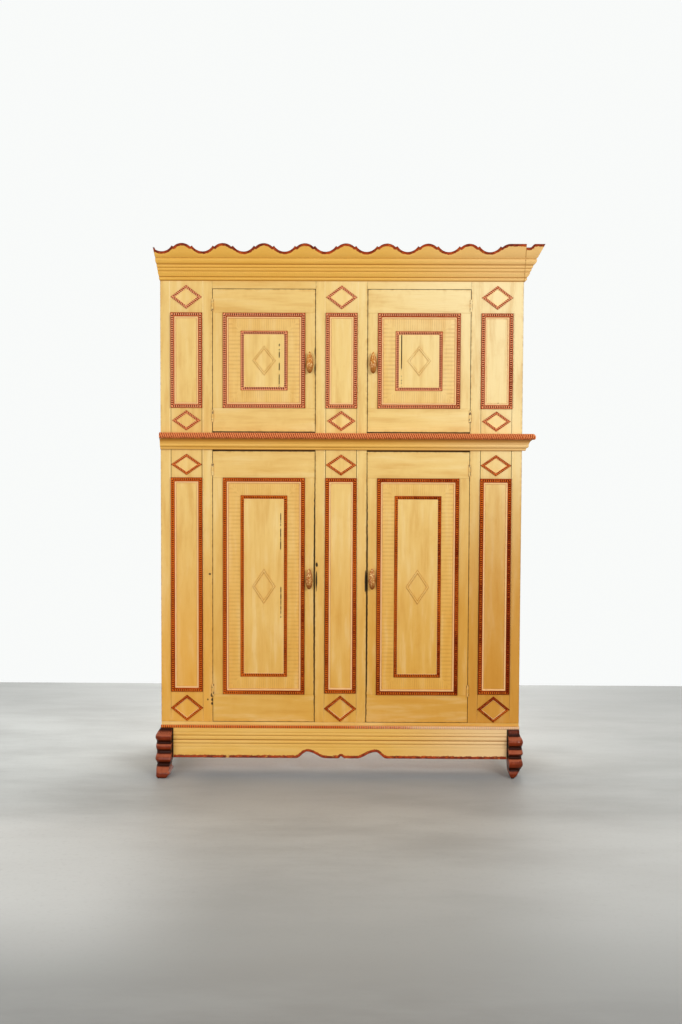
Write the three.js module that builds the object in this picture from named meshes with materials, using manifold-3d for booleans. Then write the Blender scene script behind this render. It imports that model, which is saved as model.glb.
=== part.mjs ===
import * as THREE from 'three';
import { mergeVertices } from 'three/addons/utils/BufferGeometryUtils.js';
import Module from 'manifold-3d';

// A painted linen cupboard: a tall framed case with two short doors above two tall ones,
// a scalloped cornice, a moulded waist, a scalloped skirt and carved feet.
// Millimetres, X to the right, Y to the back, Z up. Sizes count from the middle of the
// case's front at the floor, and the last lines move the whole to its own middle.

const wasm = await Module();
wasm.setup();

// Case
const caseWidth = 1412;
const caseDepth = 500;
const boardThickness = 22;
const backThickness = 14;
const backBoardCount = 6;
const backGrooveDepth = 2;
const housingDepth = 8;
const faceThickness = 22;
const railBacking = 22;
const centrePilasterWidth = 201;
const sidePilasterWidth = 202.5;
const shelfSetback = 30;

// Heights, stacked up from the floor
const footHeight = 190.7;
const bottomRailHeight = 20.6;
const lowerDoorwayHeight = 1075.4;
const waistHeight = 66;
const upperDoorwayHeight = 559;
const topRailHeight = 78;
const upperShelfShare = 0.46;
const lowerShelfShare = 0.476;

// Clearances: between pieces that touch, past the end of a cut, and round the doors
const fit = 0.3;
const overrun = 5;
const doorSideGap = 2;
const doorLap = 10;

// Doors, upper pair and lower pair
const stileWidth = 38.5;
const pullInset = 21;
const panelRecess = 6;
const panelThickness = 12;
const panelGroove = 8;
const innerInsetShare = 0.2195;
const panelDiamondShare = 0.57;
const tiers = {
  upper: {
    footGap: 5,
    headGap: 2,
    footRail: 91,
    headRail: 91,
    diamondHeight: 120,
    pullShare: 0.4855,
    hingeFromEnd: { bottom: 60, top: 62 },
  },
  lower: {
    footGap: 2,
    headGap: 6.5,
    footRail: 108,
    headRail: 103,
    diamondHeight: 138,
    pullShare: 0.534,
    hingeFromEnd: { bottom: 126, top: 71 },
  },
};

// Mouldings mitred into frames. A section's points are shares of its width, in from the
// outer edge, and of its height
const ropeWidth = 22;
const ropeHeight = 9;
const ropeShares = [[0, 0.62], [0.06, 0.82], [0.2, 1], [0.5, 1], [0.66, 0.84], [0.7, 0.45], [0.96, 0.36]];
const beadWidth = 11;
const beadHeight = 6;
const beadShares = [[0, 0.4], [0.14, 0.8], [0.4, 1], [0.68, 1], [0.92, 0.7]];
const diamondBandWidth = 10;
const diamondBandHeight = 6;
const diamondBandShares = [[0.08, 0.6], [0.32, 1], [0.62, 1], [0.94, 0.5]];

// V grooves along the joints of a door frame and between the boards of a pilaster
const seamWidth = 2.2;
const seamDepth = 0.7;

// Red frames and diamonds on the pilasters, which stand on a strip between two boards
const pilasterFrameWidth = 123.5;
const pilasterStripWidth = 130;
const lowerFrameLifts = { left: 10, centre: 6, right: 5 };
const pilasterDiamonds = {
  head: { width: 120, height: 90, clear: 17 },
  aboveWaist: { width: 110, height: 77, clear: 10 },
  belowWaist: { width: 119, height: 81, clear: 18 },
  foot: { width: 126, height: 102, clear: 4 },
};

// Cornice: a sprung board, in shares of its projection and height from its bottom edge up
const corniceProjection = 71;
const corniceHeight = 135;
const corniceDrop = 49;
const corniceNailing = 45;
const crestThickness = 16;
const corniceShares = [
  [0.035, 0], [0.11, 0.03], [0.145, 0.055], [0.145, 0.09], [0.115, 0.105],
  [0.17, 0.125], [0.24, 0.175], [0.3, 0.235], [0.27, 0.26],
  [0.34, 0.285], [0.37, 0.34], [0.345, 0.355], [0.41, 0.37], [0.44, 0.425], [0.42, 0.445],
  [0.49, 0.46], [0.56, 0.495], [0.605, 0.54], [0.61, 0.585], [0.58, 0.62],
  [0.66, 0.655], [1, 1],
];
const corniceOverhang = 21;

// Crest: round humps between pointed cusps and round hollows, and a dip at the corner
const crestPitch = 157.4;
const crestHumps = 8;
const crestStart = 92.8;
const humpHalfWidth = 32.5;
const humpRise = 12.5;
const cuspHalfWidth = 39;
const cuspDrop = 9;
const hollowDepth = 20.5;
const crestSteps = 8;
const dipFlat = 14;
const dipSlope = 18;
const dipDepth = 12.5;

// Waist: a notched strip over a cove, and shares of the cove's projection and height
const waistStripHeight = 23;
const waistStripProjection = 47;
const waistCoveProjection = 36;
const waistStripShares = [[0.94, 0], [1, 0.1], [1, 0.62], [0.92, 0.9], [0.84, 1]];
const waistCoveShares = [
  [0.34, 0], [0.38, 0.12], [0.4, 0.22], [0.5, 0.26], [0.62, 0.34], [0.66, 0.44], [0.62, 0.55],
  [0.66, 0.6], [0.7, 0.72], [0.78, 0.84], [0.9, 0.94], [1, 1],
];

// Base: a bead on the bottom rail, over a reeded skirt with a scalloped lower edge
const baseBeadHeight = 10;
const baseBeadProjection = 21;
const baseBeadSteps = 8;
const skirtHeight = 119.5;
const skirtThickness = 22;
const skirtProjection = 15;
const reedProjection = 2.5;
const reedDrops = [30, 47, 62];
const reedGrooveWidth = 3;
const archInner = 60;
const archCrown = 134;
const archOuter = 179;
const archRise = 26;
const cuspArchHalfWidth = 13;
const cuspArchRise = 8;
const archShift = 5.5;
const archSteps = 8;

// Carved front feet, the left one with a broad toe and the right one pointed. Each outline
// point is a share of its size with the share of the foot's height that it lies at
const footInset = 44;
const footBackDepth = 36;
const footToeDepth = 70;
const footSwell = 19;
const footSteps = 36;
const footOutlines = {
  left: {
    frontShares: [
      [0.9, 0], [1, 0.04], [0.99, 0.11], [0.86, 0.19], [0.66, 0.28], [0.76, 0.325], [0.9, 0.375],
      [0.84, 0.44], [0.68, 0.52], [0.66, 0.555], [0.78, 0.61], [0.78, 0.66], [0.62, 0.72], [0.7, 0.765],
      [0.8, 0.81], [0.8, 0.865], [0.62, 0.93], [0.46, 1],
    ],
    sideShares: [
      [0.5, 0], [0.78, 0.03], [0.74, 0.11], [0.78, 0.2], [0.66, 0.28], [0.9, 0.36], [0.97, 0.41],
      [0.8, 0.47], [0.7, 0.52], [0.84, 0.58], [0.9, 0.64], [0.82, 0.7], [0.78, 0.75], [0.98, 0.81],
      [0.94, 0.87], [0.44, 0.95], [0, 1],
    ],
    heelShares: [
      [0, 1], [0, 0.36], [0.13, 0.27], [0.21, 0.15], [0, 0.11], [0.2, 0.075], [0.3, 0.04], [0.42, 0],
    ],
  },
  right: {
    frontShares: [
      [0.5, 0], [0.64, 0.04], [0.71, 0.1], [0.66, 0.16], [0.62, 0.2], [0.76, 0.25], [0.9, 0.32],
      [0.86, 0.39], [0.68, 0.46], [0.72, 0.495], [0.88, 0.53], [0.78, 0.59], [0.64, 0.66], [0.74, 0.7],
      [0.84, 0.76], [0.78, 0.83], [0.54, 0.89], [0.4, 1],
    ],
    sideShares: [
      [-1.15, 0], [-0.6, 0.065], [-0.1, 0.14], [0.27, 0.2], [0.66, 0.28], [0.62, 0.34], [0.44, 0.4],
      [0.4, 0.47], [0.68, 0.53], [0.56, 0.59], [0.44, 0.655], [0.6, 0.71], [0.68, 0.76], [0.56, 0.82],
      [0.2, 0.86], [0.05, 0.92], [0, 1],
    ],
    heelShares: [[0, 1], [0, 0.34], [0.07, 0.16], [0.12, 0.07], [0.28, 0]],
  },
};
const rearFootWidth = 90;
const rearFootRadius = 50;
const arcSteps = 6;

// Butt hinges
const hingeLength = 46;
const hingeKnuckle = 15;
const barrelRadius = 4.5;
const hingePinRadius = 2;
const pinProud = 3;
const leafThickness = 1.5;
const leafDepth = 18;
const roundSides = 12;

// Turning pulls, with a latch tongue on the spindle's inner end
const pullLength = 84;
const pullWidth = 30;
const pullThickness = 14;
const pullNeck = 13;
const pullNeckRadius = 6;
const pullSides = 8;
const pullShares = [
  [0, 0], [0.34, 0.05], [0.62, 0.16], [0.84, 0.28], [1, 0.42], [0.97, 0.56], [0.84, 0.7],
  [0.62, 0.83], [0.34, 0.94], [0, 1],
];
const spindleRadius = 4.5;
const spindleSquare = 6;
const latchLength = 36;
const latchHalfWidth = 9;
const latchThickness = 5;
const latchGap = 0.8;

// Finishes
const yellowPaint = { color: 0xe3bc72, roughness: 0.62, metalness: 0 };
const redPaint = { color: 0x9c4228, roughness: 0.5, metalness: 0 };
const darkRed = { color: 0x7c2f1c, roughness: 0.35, metalness: 0 };
const bareWood = { color: 0xb08a58, roughness: 0.75, metalness: 0 };
const polishedWood = { color: 0xc98a45, roughness: 0.35, metalness: 0 };
const iron = { color: 0x6f5a3e, roughness: 0.5, metalness: 0.7 };

// Worked out from the sizes above
const caseHalf = caseWidth / 2;
const innerHalf = caseHalf - boardThickness;
const doorwayInner = centrePilasterWidth / 2;
const doorwayOuter = caseHalf - sidePilasterWidth;
const bottomRailBase = footHeight + fit;
const lowerDoorwayBase = bottomRailBase + bottomRailHeight;
const lowerDoorwayTop = lowerDoorwayBase + lowerDoorwayHeight;
const upperDoorwayBase = lowerDoorwayTop + waistHeight;
const upperDoorwayTop = upperDoorwayBase + upperDoorwayHeight;
const caseTop = upperDoorwayTop + topRailHeight;
const corniceBase = caseTop - corniceDrop;
const corniceTop = corniceBase + corniceHeight;
const boardFront = faceThickness + fit;
const boardBack = caseDepth - backThickness - fit;
const skirtBase = footHeight - skirtHeight;

tiers.lower.base = lowerDoorwayBase + tiers.lower.footGap;
tiers.lower.top = lowerDoorwayTop - tiers.lower.headGap;
tiers.upper.base = upperDoorwayBase + tiers.upper.footGap;
tiers.upper.top = upperDoorwayTop - tiers.upper.headGap;

Object.values(tiers).forEach((tier) => {
  tier.pullLevel = tier.base + tier.pullShare * (tier.top - tier.base);
  tier.hingeLevels = {
    bottom: tier.base + tier.hingeFromEnd.bottom,
    top: tier.top - tier.hingeFromEnd.top,
  };
});

const floorLevel = tiers.lower.base + doorLap - boardThickness;
const middleLevel = tiers.upper.base + doorLap - boardThickness;
const ceilingLevel = tiers.upper.top - doorLap;
const lowerShelfLevel = floorLevel + lowerShelfShare * (middleLevel - floorLevel);
const upperShelfLevel = middleLevel + upperShelfShare * (ceilingLevel - middleLevel);
const boardLevels = {
  bottom_board: { z: floorLevel, front: boardFront },
  lower_shelf: { z: lowerShelfLevel, front: boardFront + shelfSetback },
  middle_board: { z: middleLevel, front: boardFront },
  upper_shelf: { z: upperShelfLevel, front: boardFront + shelfSetback },
  top_board: { z: ceilingLevel, front: boardFront },
};

// Closed three.js geometry made into a solid that can be cut and joined
function solid(geometry) {
  const bare = geometry.clone();
  bare.deleteAttribute('normal');
  bare.deleteAttribute('uv');
  const welded = mergeVertices(bare);
  const corners = Array.from(welded.index.array);
  const triangles = [];
  for (let first = 0; first < corners.length; first += 3) {
    const triangle = corners.slice(first, first + 3);
    if (new Set(triangle).size === 3) {
      triangles.push(...triangle);
    }
  }
  return new wasm.Manifold(new wasm.Mesh({
    numProp: 3,
    vertProperties: welded.attributes.position.array,
    triVerts: new Uint32Array(triangles),
  }));
}

function box([x0, x1], [y0, y1], [z0, z1]) {
  const geometry = new THREE.BoxGeometry(x1 - x0, y1 - y0, z1 - z0);
  return solid(geometry.translate((x0 + x1) / 2, (y0 + y1) / 2, (z0 + z1) / 2));
}

function extrusion(points, depth) {
  const shape = new THREE.Shape(points.map(([u, v]) => new THREE.Vector2(u, v)));
  return new THREE.ExtrudeGeometry(shape, { depth, bevelEnabled: false });
}

const axisX = new THREE.Vector3(1, 0, 0);
const axisY = new THREE.Vector3(0, 1, 0);
const axisZ = new THREE.Vector3(0, 0, 1);

// An outline of [y, z] points drawn out along X
function prismX(points, [x0, x1]) {
  const turn = new THREE.Matrix4().makeBasis(axisY, axisZ, axisX);
  return solid(extrusion(points, x1 - x0).applyMatrix4(turn).translate(x0, 0, 0));
}

// An outline of [x, z] points drawn out along Y
function prismY(points, [y0, y1]) {
  return solid(extrusion(points, y1 - y0).rotateX(Math.PI / 2).translate(0, y1, 0));
}

// A round bar along Z or along Y
function barZ(radius, x, y, [z0, z1]) {
  const geometry = new THREE.CylinderGeometry(radius, radius, z1 - z0, roundSides);
  return solid(geometry.rotateX(Math.PI / 2).translate(x, y, (z0 + z1) / 2));
}

function barY(radius, x, [y0, y1], z) {
  const geometry = new THREE.CylinderGeometry(radius, radius, y1 - y0, roundSides);
  return solid(geometry.translate(x, (y0 + y1) / 2, z));
}

// An outline of [x, y] points drawn out along Z
function prismZ(points, [z0, z1]) {
  return solid(extrusion(points, z1 - z0).translate(0, 0, z0));
}

function joined(shapes) {
  return wasm.Manifold.union(shapes);
}

function widened([low, high], by) {
  return [low - by, high + by];
}

function arc([cx, cy], [rx, ry], [from, to], steps) {
  return Array.from({ length: steps + 1 }, (_, step) => {
    const angle = from + ((to - from) * step) / steps;
    return [cx + rx * Math.cos(angle), cy + ry * Math.sin(angle)];
  });
}

// A round bow over a level chord. It falls where its rise is negative, and reach is the
// share of it that is drawn
function bow([x0, x1], z, rise, reach = 1) {
  const half = (x1 - x0) / 2;
  const radius = (half ** 2 + rise ** 2) / (2 * rise);
  const spread = Math.asin(half / Math.abs(radius));
  return Array.from({ length: reach * crestSteps + 1 }, (_, step) => {
    const angle = spread * ((2 * step) / crestSteps - 1);
    return [x0 + half + Math.abs(radius) * Math.sin(angle), z + rise + radius * (Math.cos(angle) - 1)];
  });
}

// A slope that starts and ends level
function easing(from, to, rise) {
  return Array.from({ length: archSteps + 1 }, (_, step) => {
    const share = step / archSteps;
    return [from + (to - from) * share, (rise * (1 - Math.cos(Math.PI * share))) / 2];
  });
}

// The four corners of a frame or of a diamond, at a distance in from its outer edge
function rectangle(width, height) {
  return (inset) => {
    const x = width / 2 - inset;
    const z = height / 2 - inset;
    return [[-x, -z], [x, -z], [x, z], [-x, z]];
  };
}

function rhombus(width, height) {
  const innerRadius = (width * height) / (2 * Math.hypot(width, height));
  return (inset) => {
    const keep = 1 - inset / innerRadius;
    const x = (keep * width) / 2;
    const z = (keep * height) / 2;
    return [[0, -z], [x, 0], [0, z], [-x, 0]];
  };
}

// A moulding mitred round a four-cornered frame, with its back at y = 0
function mitredRing(cornersAt, width, height, shares) {
  const section = [[0, 0], ...shares, [1, 0]];
  const rings = section.map(([across, up]) => (
    cornersAt(across * width).map(([x, z]) => [x, -up * height, z])
  ));
  const index = [];
  rings.forEach((ring, row) => {
    const next = (row + 1) % rings.length;
    ring.forEach((_, corner) => {
      const after = (corner + 1) % ring.length;
      const [a, b] = [row * ring.length + corner, row * ring.length + after];
      const [c, d] = [next * ring.length + after, next * ring.length + corner];
      index.push(a, b, c, a, c, d);
    });
  });
  const geometry = new THREE.BufferGeometry();
  geometry.setAttribute('position', new THREE.Float32BufferAttribute(rings.flat(2), 3));
  geometry.setIndex(index);
  return solid(geometry);
}

const cupboard = new THREE.Group();

function add(name, shape, finish) {
  const { vertProperties, triVerts } = shape.getMesh();
  const geometry = new THREE.BufferGeometry();
  geometry.setAttribute('position', new THREE.BufferAttribute(vertProperties, 3));
  geometry.setIndex(new THREE.BufferAttribute(triVerts, 1));
  geometry.computeVertexNormals();
  const mesh = new THREE.Mesh(geometry, new THREE.MeshStandardMaterial(finish));
  mesh.name = name;
  cupboard.add(mesh);
}

// Everything right of the middle is drawn once and mirrored for the left
const hands = {
  left: (shape) => shape.mirror([1, 0, 0]),
  right: (shape) => shape,
};

// Side boards: housed for the level boards, notched for the front foot, arched to a rear foot
function sideBoard() {
  const rearStart = caseDepth - rearFootWidth;
  const archCentre = [rearStart - rearFootRadius, skirtBase - rearFootRadius];
  const radii = [rearFootRadius, rearFootRadius];
  const outline = [
    [boardFront, caseTop],
    [boardFront, bottomRailBase],
    [footBackDepth + fit, bottomRailBase],
    [footBackDepth + fit, skirtBase],
    ...arc(archCentre, radii, [Math.PI / 2, 0], arcSteps),
    [rearStart, 0],
    [caseDepth, 0],
    [caseDepth, caseTop],
  ];
  const housings = Object.values(boardLevels).map(({ z, front }) => box(
    [innerHalf - overrun, innerHalf + housingDepth + fit],
    [front - fit, boardBack + fit],
    [z - fit, z + boardThickness + fit],
  ));
  return prismX(outline, [innerHalf, caseHalf]).subtract(joined(housings));
}

Object.entries(hands).forEach(([hand, turned]) => {
  add(`side_${hand}`, turned(sideBoard()), yellowPaint);
});

Object.entries(boardLevels).forEach(([name, { z, front }]) => {
  const reach = innerHalf + housingDepth;
  add(name, box([-reach, reach], [front, boardBack], [z, z + boardThickness]), bareWood);
});

// Back: upright boards edge to edge, with a V groove along each meeting line
function backBoards() {
  const half = innerHalf - fit;
  const sheet = box([-half, half], [caseDepth - backThickness, caseDepth], [floorLevel, caseTop]);
  const grooves = Array.from({ length: backBoardCount - 1 }, (_, joint) => {
    const x = -half + (2 * half * (joint + 1)) / backBoardCount;
    const spread = backGrooveDepth + overrun;
    const vee = [[-spread, overrun], [0, -backGrooveDepth], [spread, overrun]];
    const outline = vee.map(([across, out]) => [x + across, caseDepth + out]);
    return prismZ(outline, [floorLevel - overrun, caseTop + overrun]);
  });
  return sheet.subtract(joined(grooves));
}

add('back_boards', backBoards(), bareWood);

// Hinges: the fixed leaf with its outer knuckles and pin. The middle knuckle is on the door
const hingeX = doorwayOuter - doorSideGap / 2;
const hingeY = -pinProud;

function hingeSpans(z) {
  const half = hingeLength / 2;
  const middle = hingeKnuckle / 2;
  return {
    whole: [z - half, z + half],
    lower: [z - half, z - middle],
    middle: [z - middle + fit, z + middle - fit],
    upper: [z + middle, z + half],
  };
}

function fixedHinge(z) {
  const spans = hingeSpans(z);
  const leafX = doorwayOuter + fit;
  const leaf = box([leafX, leafX + leafThickness], [hingeY, leafDepth], spans.whole);
  const clearance = barZ(barrelRadius + fit, hingeX, hingeY, [spans.lower[1], spans.upper[0]]);
  return joined([
    leaf.subtract(clearance),
    barZ(barrelRadius, hingeX, hingeY, spans.lower),
    barZ(barrelRadius, hingeX, hingeY, spans.upper),
    barZ(hingePinRadius, hingeX, hingeY, spans.whole),
  ]);
}

// Room for a hinge in the pilaster's edge: its leaf's mortise and its barrel's hollow
function hingeRoom(z) {
  const [z0, z1] = hingeSpans(z).whole;
  const span = [z0 - fit, z1 + fit];
  const mortise = [doorwayOuter - overrun, doorwayOuter + leafThickness + 2 * fit];
  return joined([
    box(mortise, [-overrun, leafDepth + fit], span),
    barZ(barrelRadius + fit, hingeX, hingeY, span),
  ]);
}

// Pilasters, with their red diamonds planted on
const upperFrameBase = tiers.upper.base + tiers.upper.footRail;
const upperFrameTop = tiers.upper.top - tiers.upper.headRail;
const lowerFrameBase = tiers.lower.base + tiers.lower.footRail;
const lowerFrameTop = tiers.lower.top - tiers.lower.headRail;

function redDiamonds(x) {
  const { head, aboveWaist, belowWaist, foot } = pilasterDiamonds;
  const middles = [
    [head, corniceBase - head.clear - head.height / 2],
    [aboveWaist, upperFrameBase - aboveWaist.clear - aboveWaist.height / 2],
    [belowWaist, lowerDoorwayTop - belowWaist.clear - belowWaist.height / 2],
    [foot, lowerDoorwayBase + foot.clear + foot.height / 2],
  ];
  return middles.map(([{ width, height }, z]) => (
    mitredRing(rhombus(width, height), diamondBandWidth, diamondBandHeight + fit, diamondBandShares)
      .translate([x, fit, z])
  ));
}

// A seam's V, with its mouth in the face y = 0, as [across, y] points
const seamVee = [[-seamWidth, -seamDepth], [0, seamDepth], [seamWidth, -seamDepth]];

function pilaster([x0, x1]) {
  const middle = (x0 + x1) / 2;
  const height = [lowerDoorwayBase + fit, caseTop];
  const post = box([x0, x1], [0, faceThickness], height);
  const seams = [-pilasterStripWidth / 2, pilasterStripWidth / 2].map((side) => (
    prismZ(seamVee.map(([across, y]) => [middle + side + across, y]), widened(height, overrun))
  ));
  return joined([post.subtract(joined(seams)), ...redDiamonds(middle)]);
}

const sidePilaster = [doorwayOuter, caseHalf];
const hingeRooms = joined(Object.values(tiers).flatMap((tier) => (
  Object.values(tier.hingeLevels).map(hingeRoom)
)));
Object.entries(hands).forEach(([hand, turned]) => {
  add(`pilaster_${hand}`, turned(pilaster(sidePilaster).subtract(hingeRooms)), yellowPaint);
});
add('pilaster_centre', pilaster([-doorwayInner, doorwayInner]), yellowPaint);

const pilasterMiddles = { left: -1, centre: 0, right: 1 };
const pilasterFrames = {
  upper: () => [upperFrameBase, upperFrameTop],
  lower: (place) => [lowerFrameBase + lowerFrameLifts[place], lowerFrameTop],
};
Object.entries(pilasterMiddles).forEach(([place, side]) => {
  Object.entries(pilasterFrames).forEach(([level, ends]) => {
    const [z0, z1] = ends(place);
    const x = (side * (doorwayOuter + caseHalf)) / 2;
    const ring = mitredRing(rectangle(pilasterFrameWidth, z1 - z0), ropeWidth, ropeHeight, ropeShares);
    add(`pilaster_${place}_${level}_frame`, ring.translate([x, -fit, (z0 + z1) / 2]), redPaint);
  });
});

// Rails between the pilasters, each lapped behind the centre one. [z0, z1] is the part in
// the doorways and [low, high] the part behind the pilasters
function lappedRail([z0, z1], [low, high]) {
  const back = boardFront + railBacking;
  const doorway = [doorwayInner + fit, doorwayOuter - fit];
  const backing = box([fit - innerHalf, innerHalf - fit], [boardFront, back], [low, high]);
  const face = box(doorway, [0, faceThickness], [z0, z1]);
  const link = box(doorway, [0, back], [Math.max(z0, low), Math.min(z1, high)]);
  const infill = face.add(link);
  return joined([backing, infill, hands.left(infill)]);
}

add('top_rail', lappedRail(
  [upperDoorwayTop, caseTop],
  [ceilingLevel + boardThickness + fit, caseTop],
), yellowPaint);
add('mid_rail', lappedRail(
  [lowerDoorwayTop, upperDoorwayBase],
  [tiers.lower.top - doorLap, middleLevel - fit],
), yellowPaint);

const beadRadius = baseBeadHeight / 2;
const beadCentre = [beadRadius - baseBeadProjection, bottomRailBase + beadRadius];
add('bottom_rail', prismX([
  [faceThickness, bottomRailBase],
  [faceThickness, lowerDoorwayBase],
  [0, lowerDoorwayBase],
  [0, bottomRailBase + baseBeadHeight],
  ...arc(beadCentre, [beadRadius, beadRadius], [Math.PI / 2, (3 * Math.PI) / 2], baseBeadSteps),
], [-caseHalf, caseHalf]), yellowPaint);

// A moulding's front points as [projection, height]
function scaled(shares, projection, base, height) {
  return shares.map(([out, up]) => [out * projection, base + up * height]);
}

// A moulding along the front, against the case
function frontRun(points, span) {
  const [low, high] = [points[0][1], points.at(-1)[1]];
  const face = points.map(([out, z]) => [-out, z]);
  return prismX([[-fit, low], ...face, [-fit, high]], span);
}

// A block with the moulding on its front and on its right side, mitred at the corner
function corneredBlock(points) {
  const [low, high] = [points[0][1], points.at(-1)[1]];
  const reach = Math.max(...points.map(([out]) => out)) + overrun;
  const front = points.map(([out, z]) => [-out, z]);
  const side = points.map(([out, z]) => [caseHalf + out, z]);
  const start = caseHalf + fit;
  return prismX([[caseDepth, low], ...front, [caseDepth, high]], [start, caseHalf + reach])
    .intersect(prismY([[start, low], ...side, [start, high]], [-reach, caseDepth]));
}

// What is cut from above the crest, as [distance along, height] points
function crestCut(start, humps, before) {
  const cuspTop = corniceTop - cuspDrop;
  const humpBase = corniceTop - humpRise;
  const points = [];
  for (let hump = 0; hump <= humps; hump += 1) {
    const middle = start + hump * crestPitch;
    const hollow = [middle - crestPitch + cuspHalfWidth, middle - cuspHalfWidth];
    points.push(...bow(hollow, cuspTop, -hollowDepth));
    const reach = hump === humps ? 1 / 2 : 1;
    points.push(...bow([middle - humpHalfWidth, middle + humpHalfWidth], humpBase, humpRise, reach));
  }
  const above = corniceTop + overrun;
  const first = points[0][0] - before;
  return [...points, [points.at(-1)[0], above], [first, above], [first, cuspTop]];
}

// Cornice: a board sprung out from the case, with a hollow behind its upper part
const corniceFace = scaled(corniceShares, corniceProjection, corniceBase, corniceHeight);
const corniceHollow = [
  [0, corniceBase + corniceNailing],
  [corniceProjection - crestThickness, corniceTop],
];

function corniceFront() {
  const left = -caseHalf - corniceOverhang;
  const [[, hollowBase], [hollowTop]] = corniceHollow;
  const above = corniceTop + overrun;
  const hollow = [
    [0, hollowBase],
    [-hollowTop, corniceTop],
    [-hollowTop, above],
    [overrun, above],
    [overrun, hollowBase],
  ];
  const splay = corniceOverhang / corniceProjection;
  const sawnEnd = [
    [-caseHalf + splay * overrun, overrun],
    [left - splay * overrun, -corniceProjection - overrun],
    [left - 2 * overrun, overrun],
  ];
  const depth = [-corniceProjection - overrun, overrun];
  return frontRun(corniceFace, [left, caseHalf])
    .subtract(prismX(hollow, [left - overrun, caseHalf + overrun]))
    .subtract(prismZ(sawnEnd, [corniceBase - overrun, above]))
    .subtract(prismY(crestCut(-caseHalf + crestStart, crestHumps, overrun), depth));
}

function corniceReturn() {
  const above = corniceTop + overrun;
  const raised = [...corniceHollow, [corniceHollow[1][0], above]];
  const front = raised.map(([out, z]) => [-out, z]);
  const side = raised.map(([out, z]) => [caseHalf + out, z]);
  const low = corniceHollow[0][1];
  const behind = caseDepth + overrun;
  const cornerStart = caseHalf - overrun;
  const hollow = prismX(
    [[behind, low], ...front, [behind, above]],
    [cornerStart, caseHalf + corniceProjection],
  ).intersect(prismY(
    [[cornerStart, low], ...side, [cornerStart, above]],
    [-corniceProjection, behind],
  ));
  const dipEnd = caseHalf + dipFlat + dipSlope;
  const dipLevel = corniceTop - dipDepth;
  const slope = easing(caseHalf + dipFlat, dipEnd, dipDepth).map(([x, rise]) => [x, dipLevel + rise]);
  const cornerDip = [[cornerStart, dipLevel], ...slope, [dipEnd, above], [cornerStart, above]];
  const sideCut = crestCut(crestStart, Math.ceil(caseDepth / crestPitch), 0);
  const outerFace = caseHalf + corniceProjection;
  const sideFace = [outerFace - crestThickness - overrun, outerFace + overrun];
  return corneredBlock(corniceFace)
    .subtract(hollow)
    .subtract(prismY(cornerDip, [-corniceProjection - overrun, 0]))
    .subtract(prismX(sideCut, sideFace));
}

add('cornice_front', corniceFront(), yellowPaint);
add('cornice_return', corniceReturn(), yellowPaint);

// Waist: cove and strip along the front, and the two in one piece round the right side
const stripBase = upperDoorwayBase - waistStripHeight;
const coveHeight = waistHeight - waistStripHeight - fit;
const coveFace = scaled(waistCoveShares, waistCoveProjection, lowerDoorwayTop, coveHeight);
const stripFace = scaled(waistStripShares, waistStripProjection, stripBase, waistStripHeight);
add('waist_cove', frontRun(coveFace, [-caseHalf, caseHalf]), yellowPaint);
add('waist_strip', frontRun(stripFace, [-caseHalf, caseHalf]), redPaint);
add('waist_return', corneredBlock([...coveFace, ...stripFace]), redPaint);

// Skirt: reeds above, and a lower edge that rises in two lopsided arches and a small middle one
function skirt() {
  const half = caseHalf - footInset - fit;
  const front = -skirtProjection;
  const grooves = reedDrops.flatMap((drop) => {
    const z = footHeight - drop;
    const lip = reedGrooveWidth / 2;
    return [[front - reedProjection, z + lip], [front, z], [front - reedProjection, z - lip]];
  });
  const reedEnd = grooves.at(-2)[1];
  const profile = [
    [front + skirtThickness, footHeight],
    [front - reedProjection, footHeight],
    ...grooves.slice(0, -1),
    [front, reedEnd - reedGrooveWidth],
    [front, skirtBase],
    [front + skirtThickness, skirtBase],
  ];
  const rightHalf = [
    ...easing(cuspArchHalfWidth, 0, cuspArchRise).reverse(),
    ...easing(archInner, archCrown, archRise),
    ...easing(archOuter, archCrown, archRise).reverse().slice(1),
  ];
  const leftHalf = rightHalf.slice(1).map(([x, rise]) => [-x, rise]).reverse();
  const edge = [...leftHalf, ...rightHalf].map(([x, rise]) => [archShift + x, skirtBase + rise]);
  const below = skirtBase - overrun;
  const scallops = [[archShift - archOuter, below], ...edge, [archShift + archOuter, below]];
  return prismX(profile, [-half, half])
    .subtract(prismY(scallops, [front - overrun, front + skirtThickness + overrun]));
}

add('skirt', skirt(), yellowPaint);

// Front feet: one carved outline seen from the front, met by another seen from the side
function smooth(shares) {
  const curve = new THREE.SplineCurve(shares.map(([out, up]) => new THREE.Vector2(out, up)));
  return curve.getPoints(footSteps).map(({ x, y }) => [x, y]);
}

function foot({ frontShares, sideShares, heelShares }) {
  const inner = caseHalf - footInset;
  const front = smooth(frontShares).map(([out, up]) => [-out * footToeDepth, up * footHeight]);
  const side = smooth(sideShares).map(([out, up]) => [caseHalf + out * footSwell, up * footHeight]);
  const heel = heelShares.map(([across, up]) => [inner + across * footInset, up * footHeight]);
  return prismX(
    [[footBackDepth, 0], ...front, [footBackDepth, footHeight]],
    [inner, caseHalf + 2 * footSwell],
  ).intersect(prismY([...side, ...heel], [-2 * footToeDepth, footBackDepth]));
}

Object.entries(hands).forEach(([hand, turned]) => {
  add(`foot_${hand}`, turned(foot(footOutlines[hand])), darkRed);
});

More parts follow.
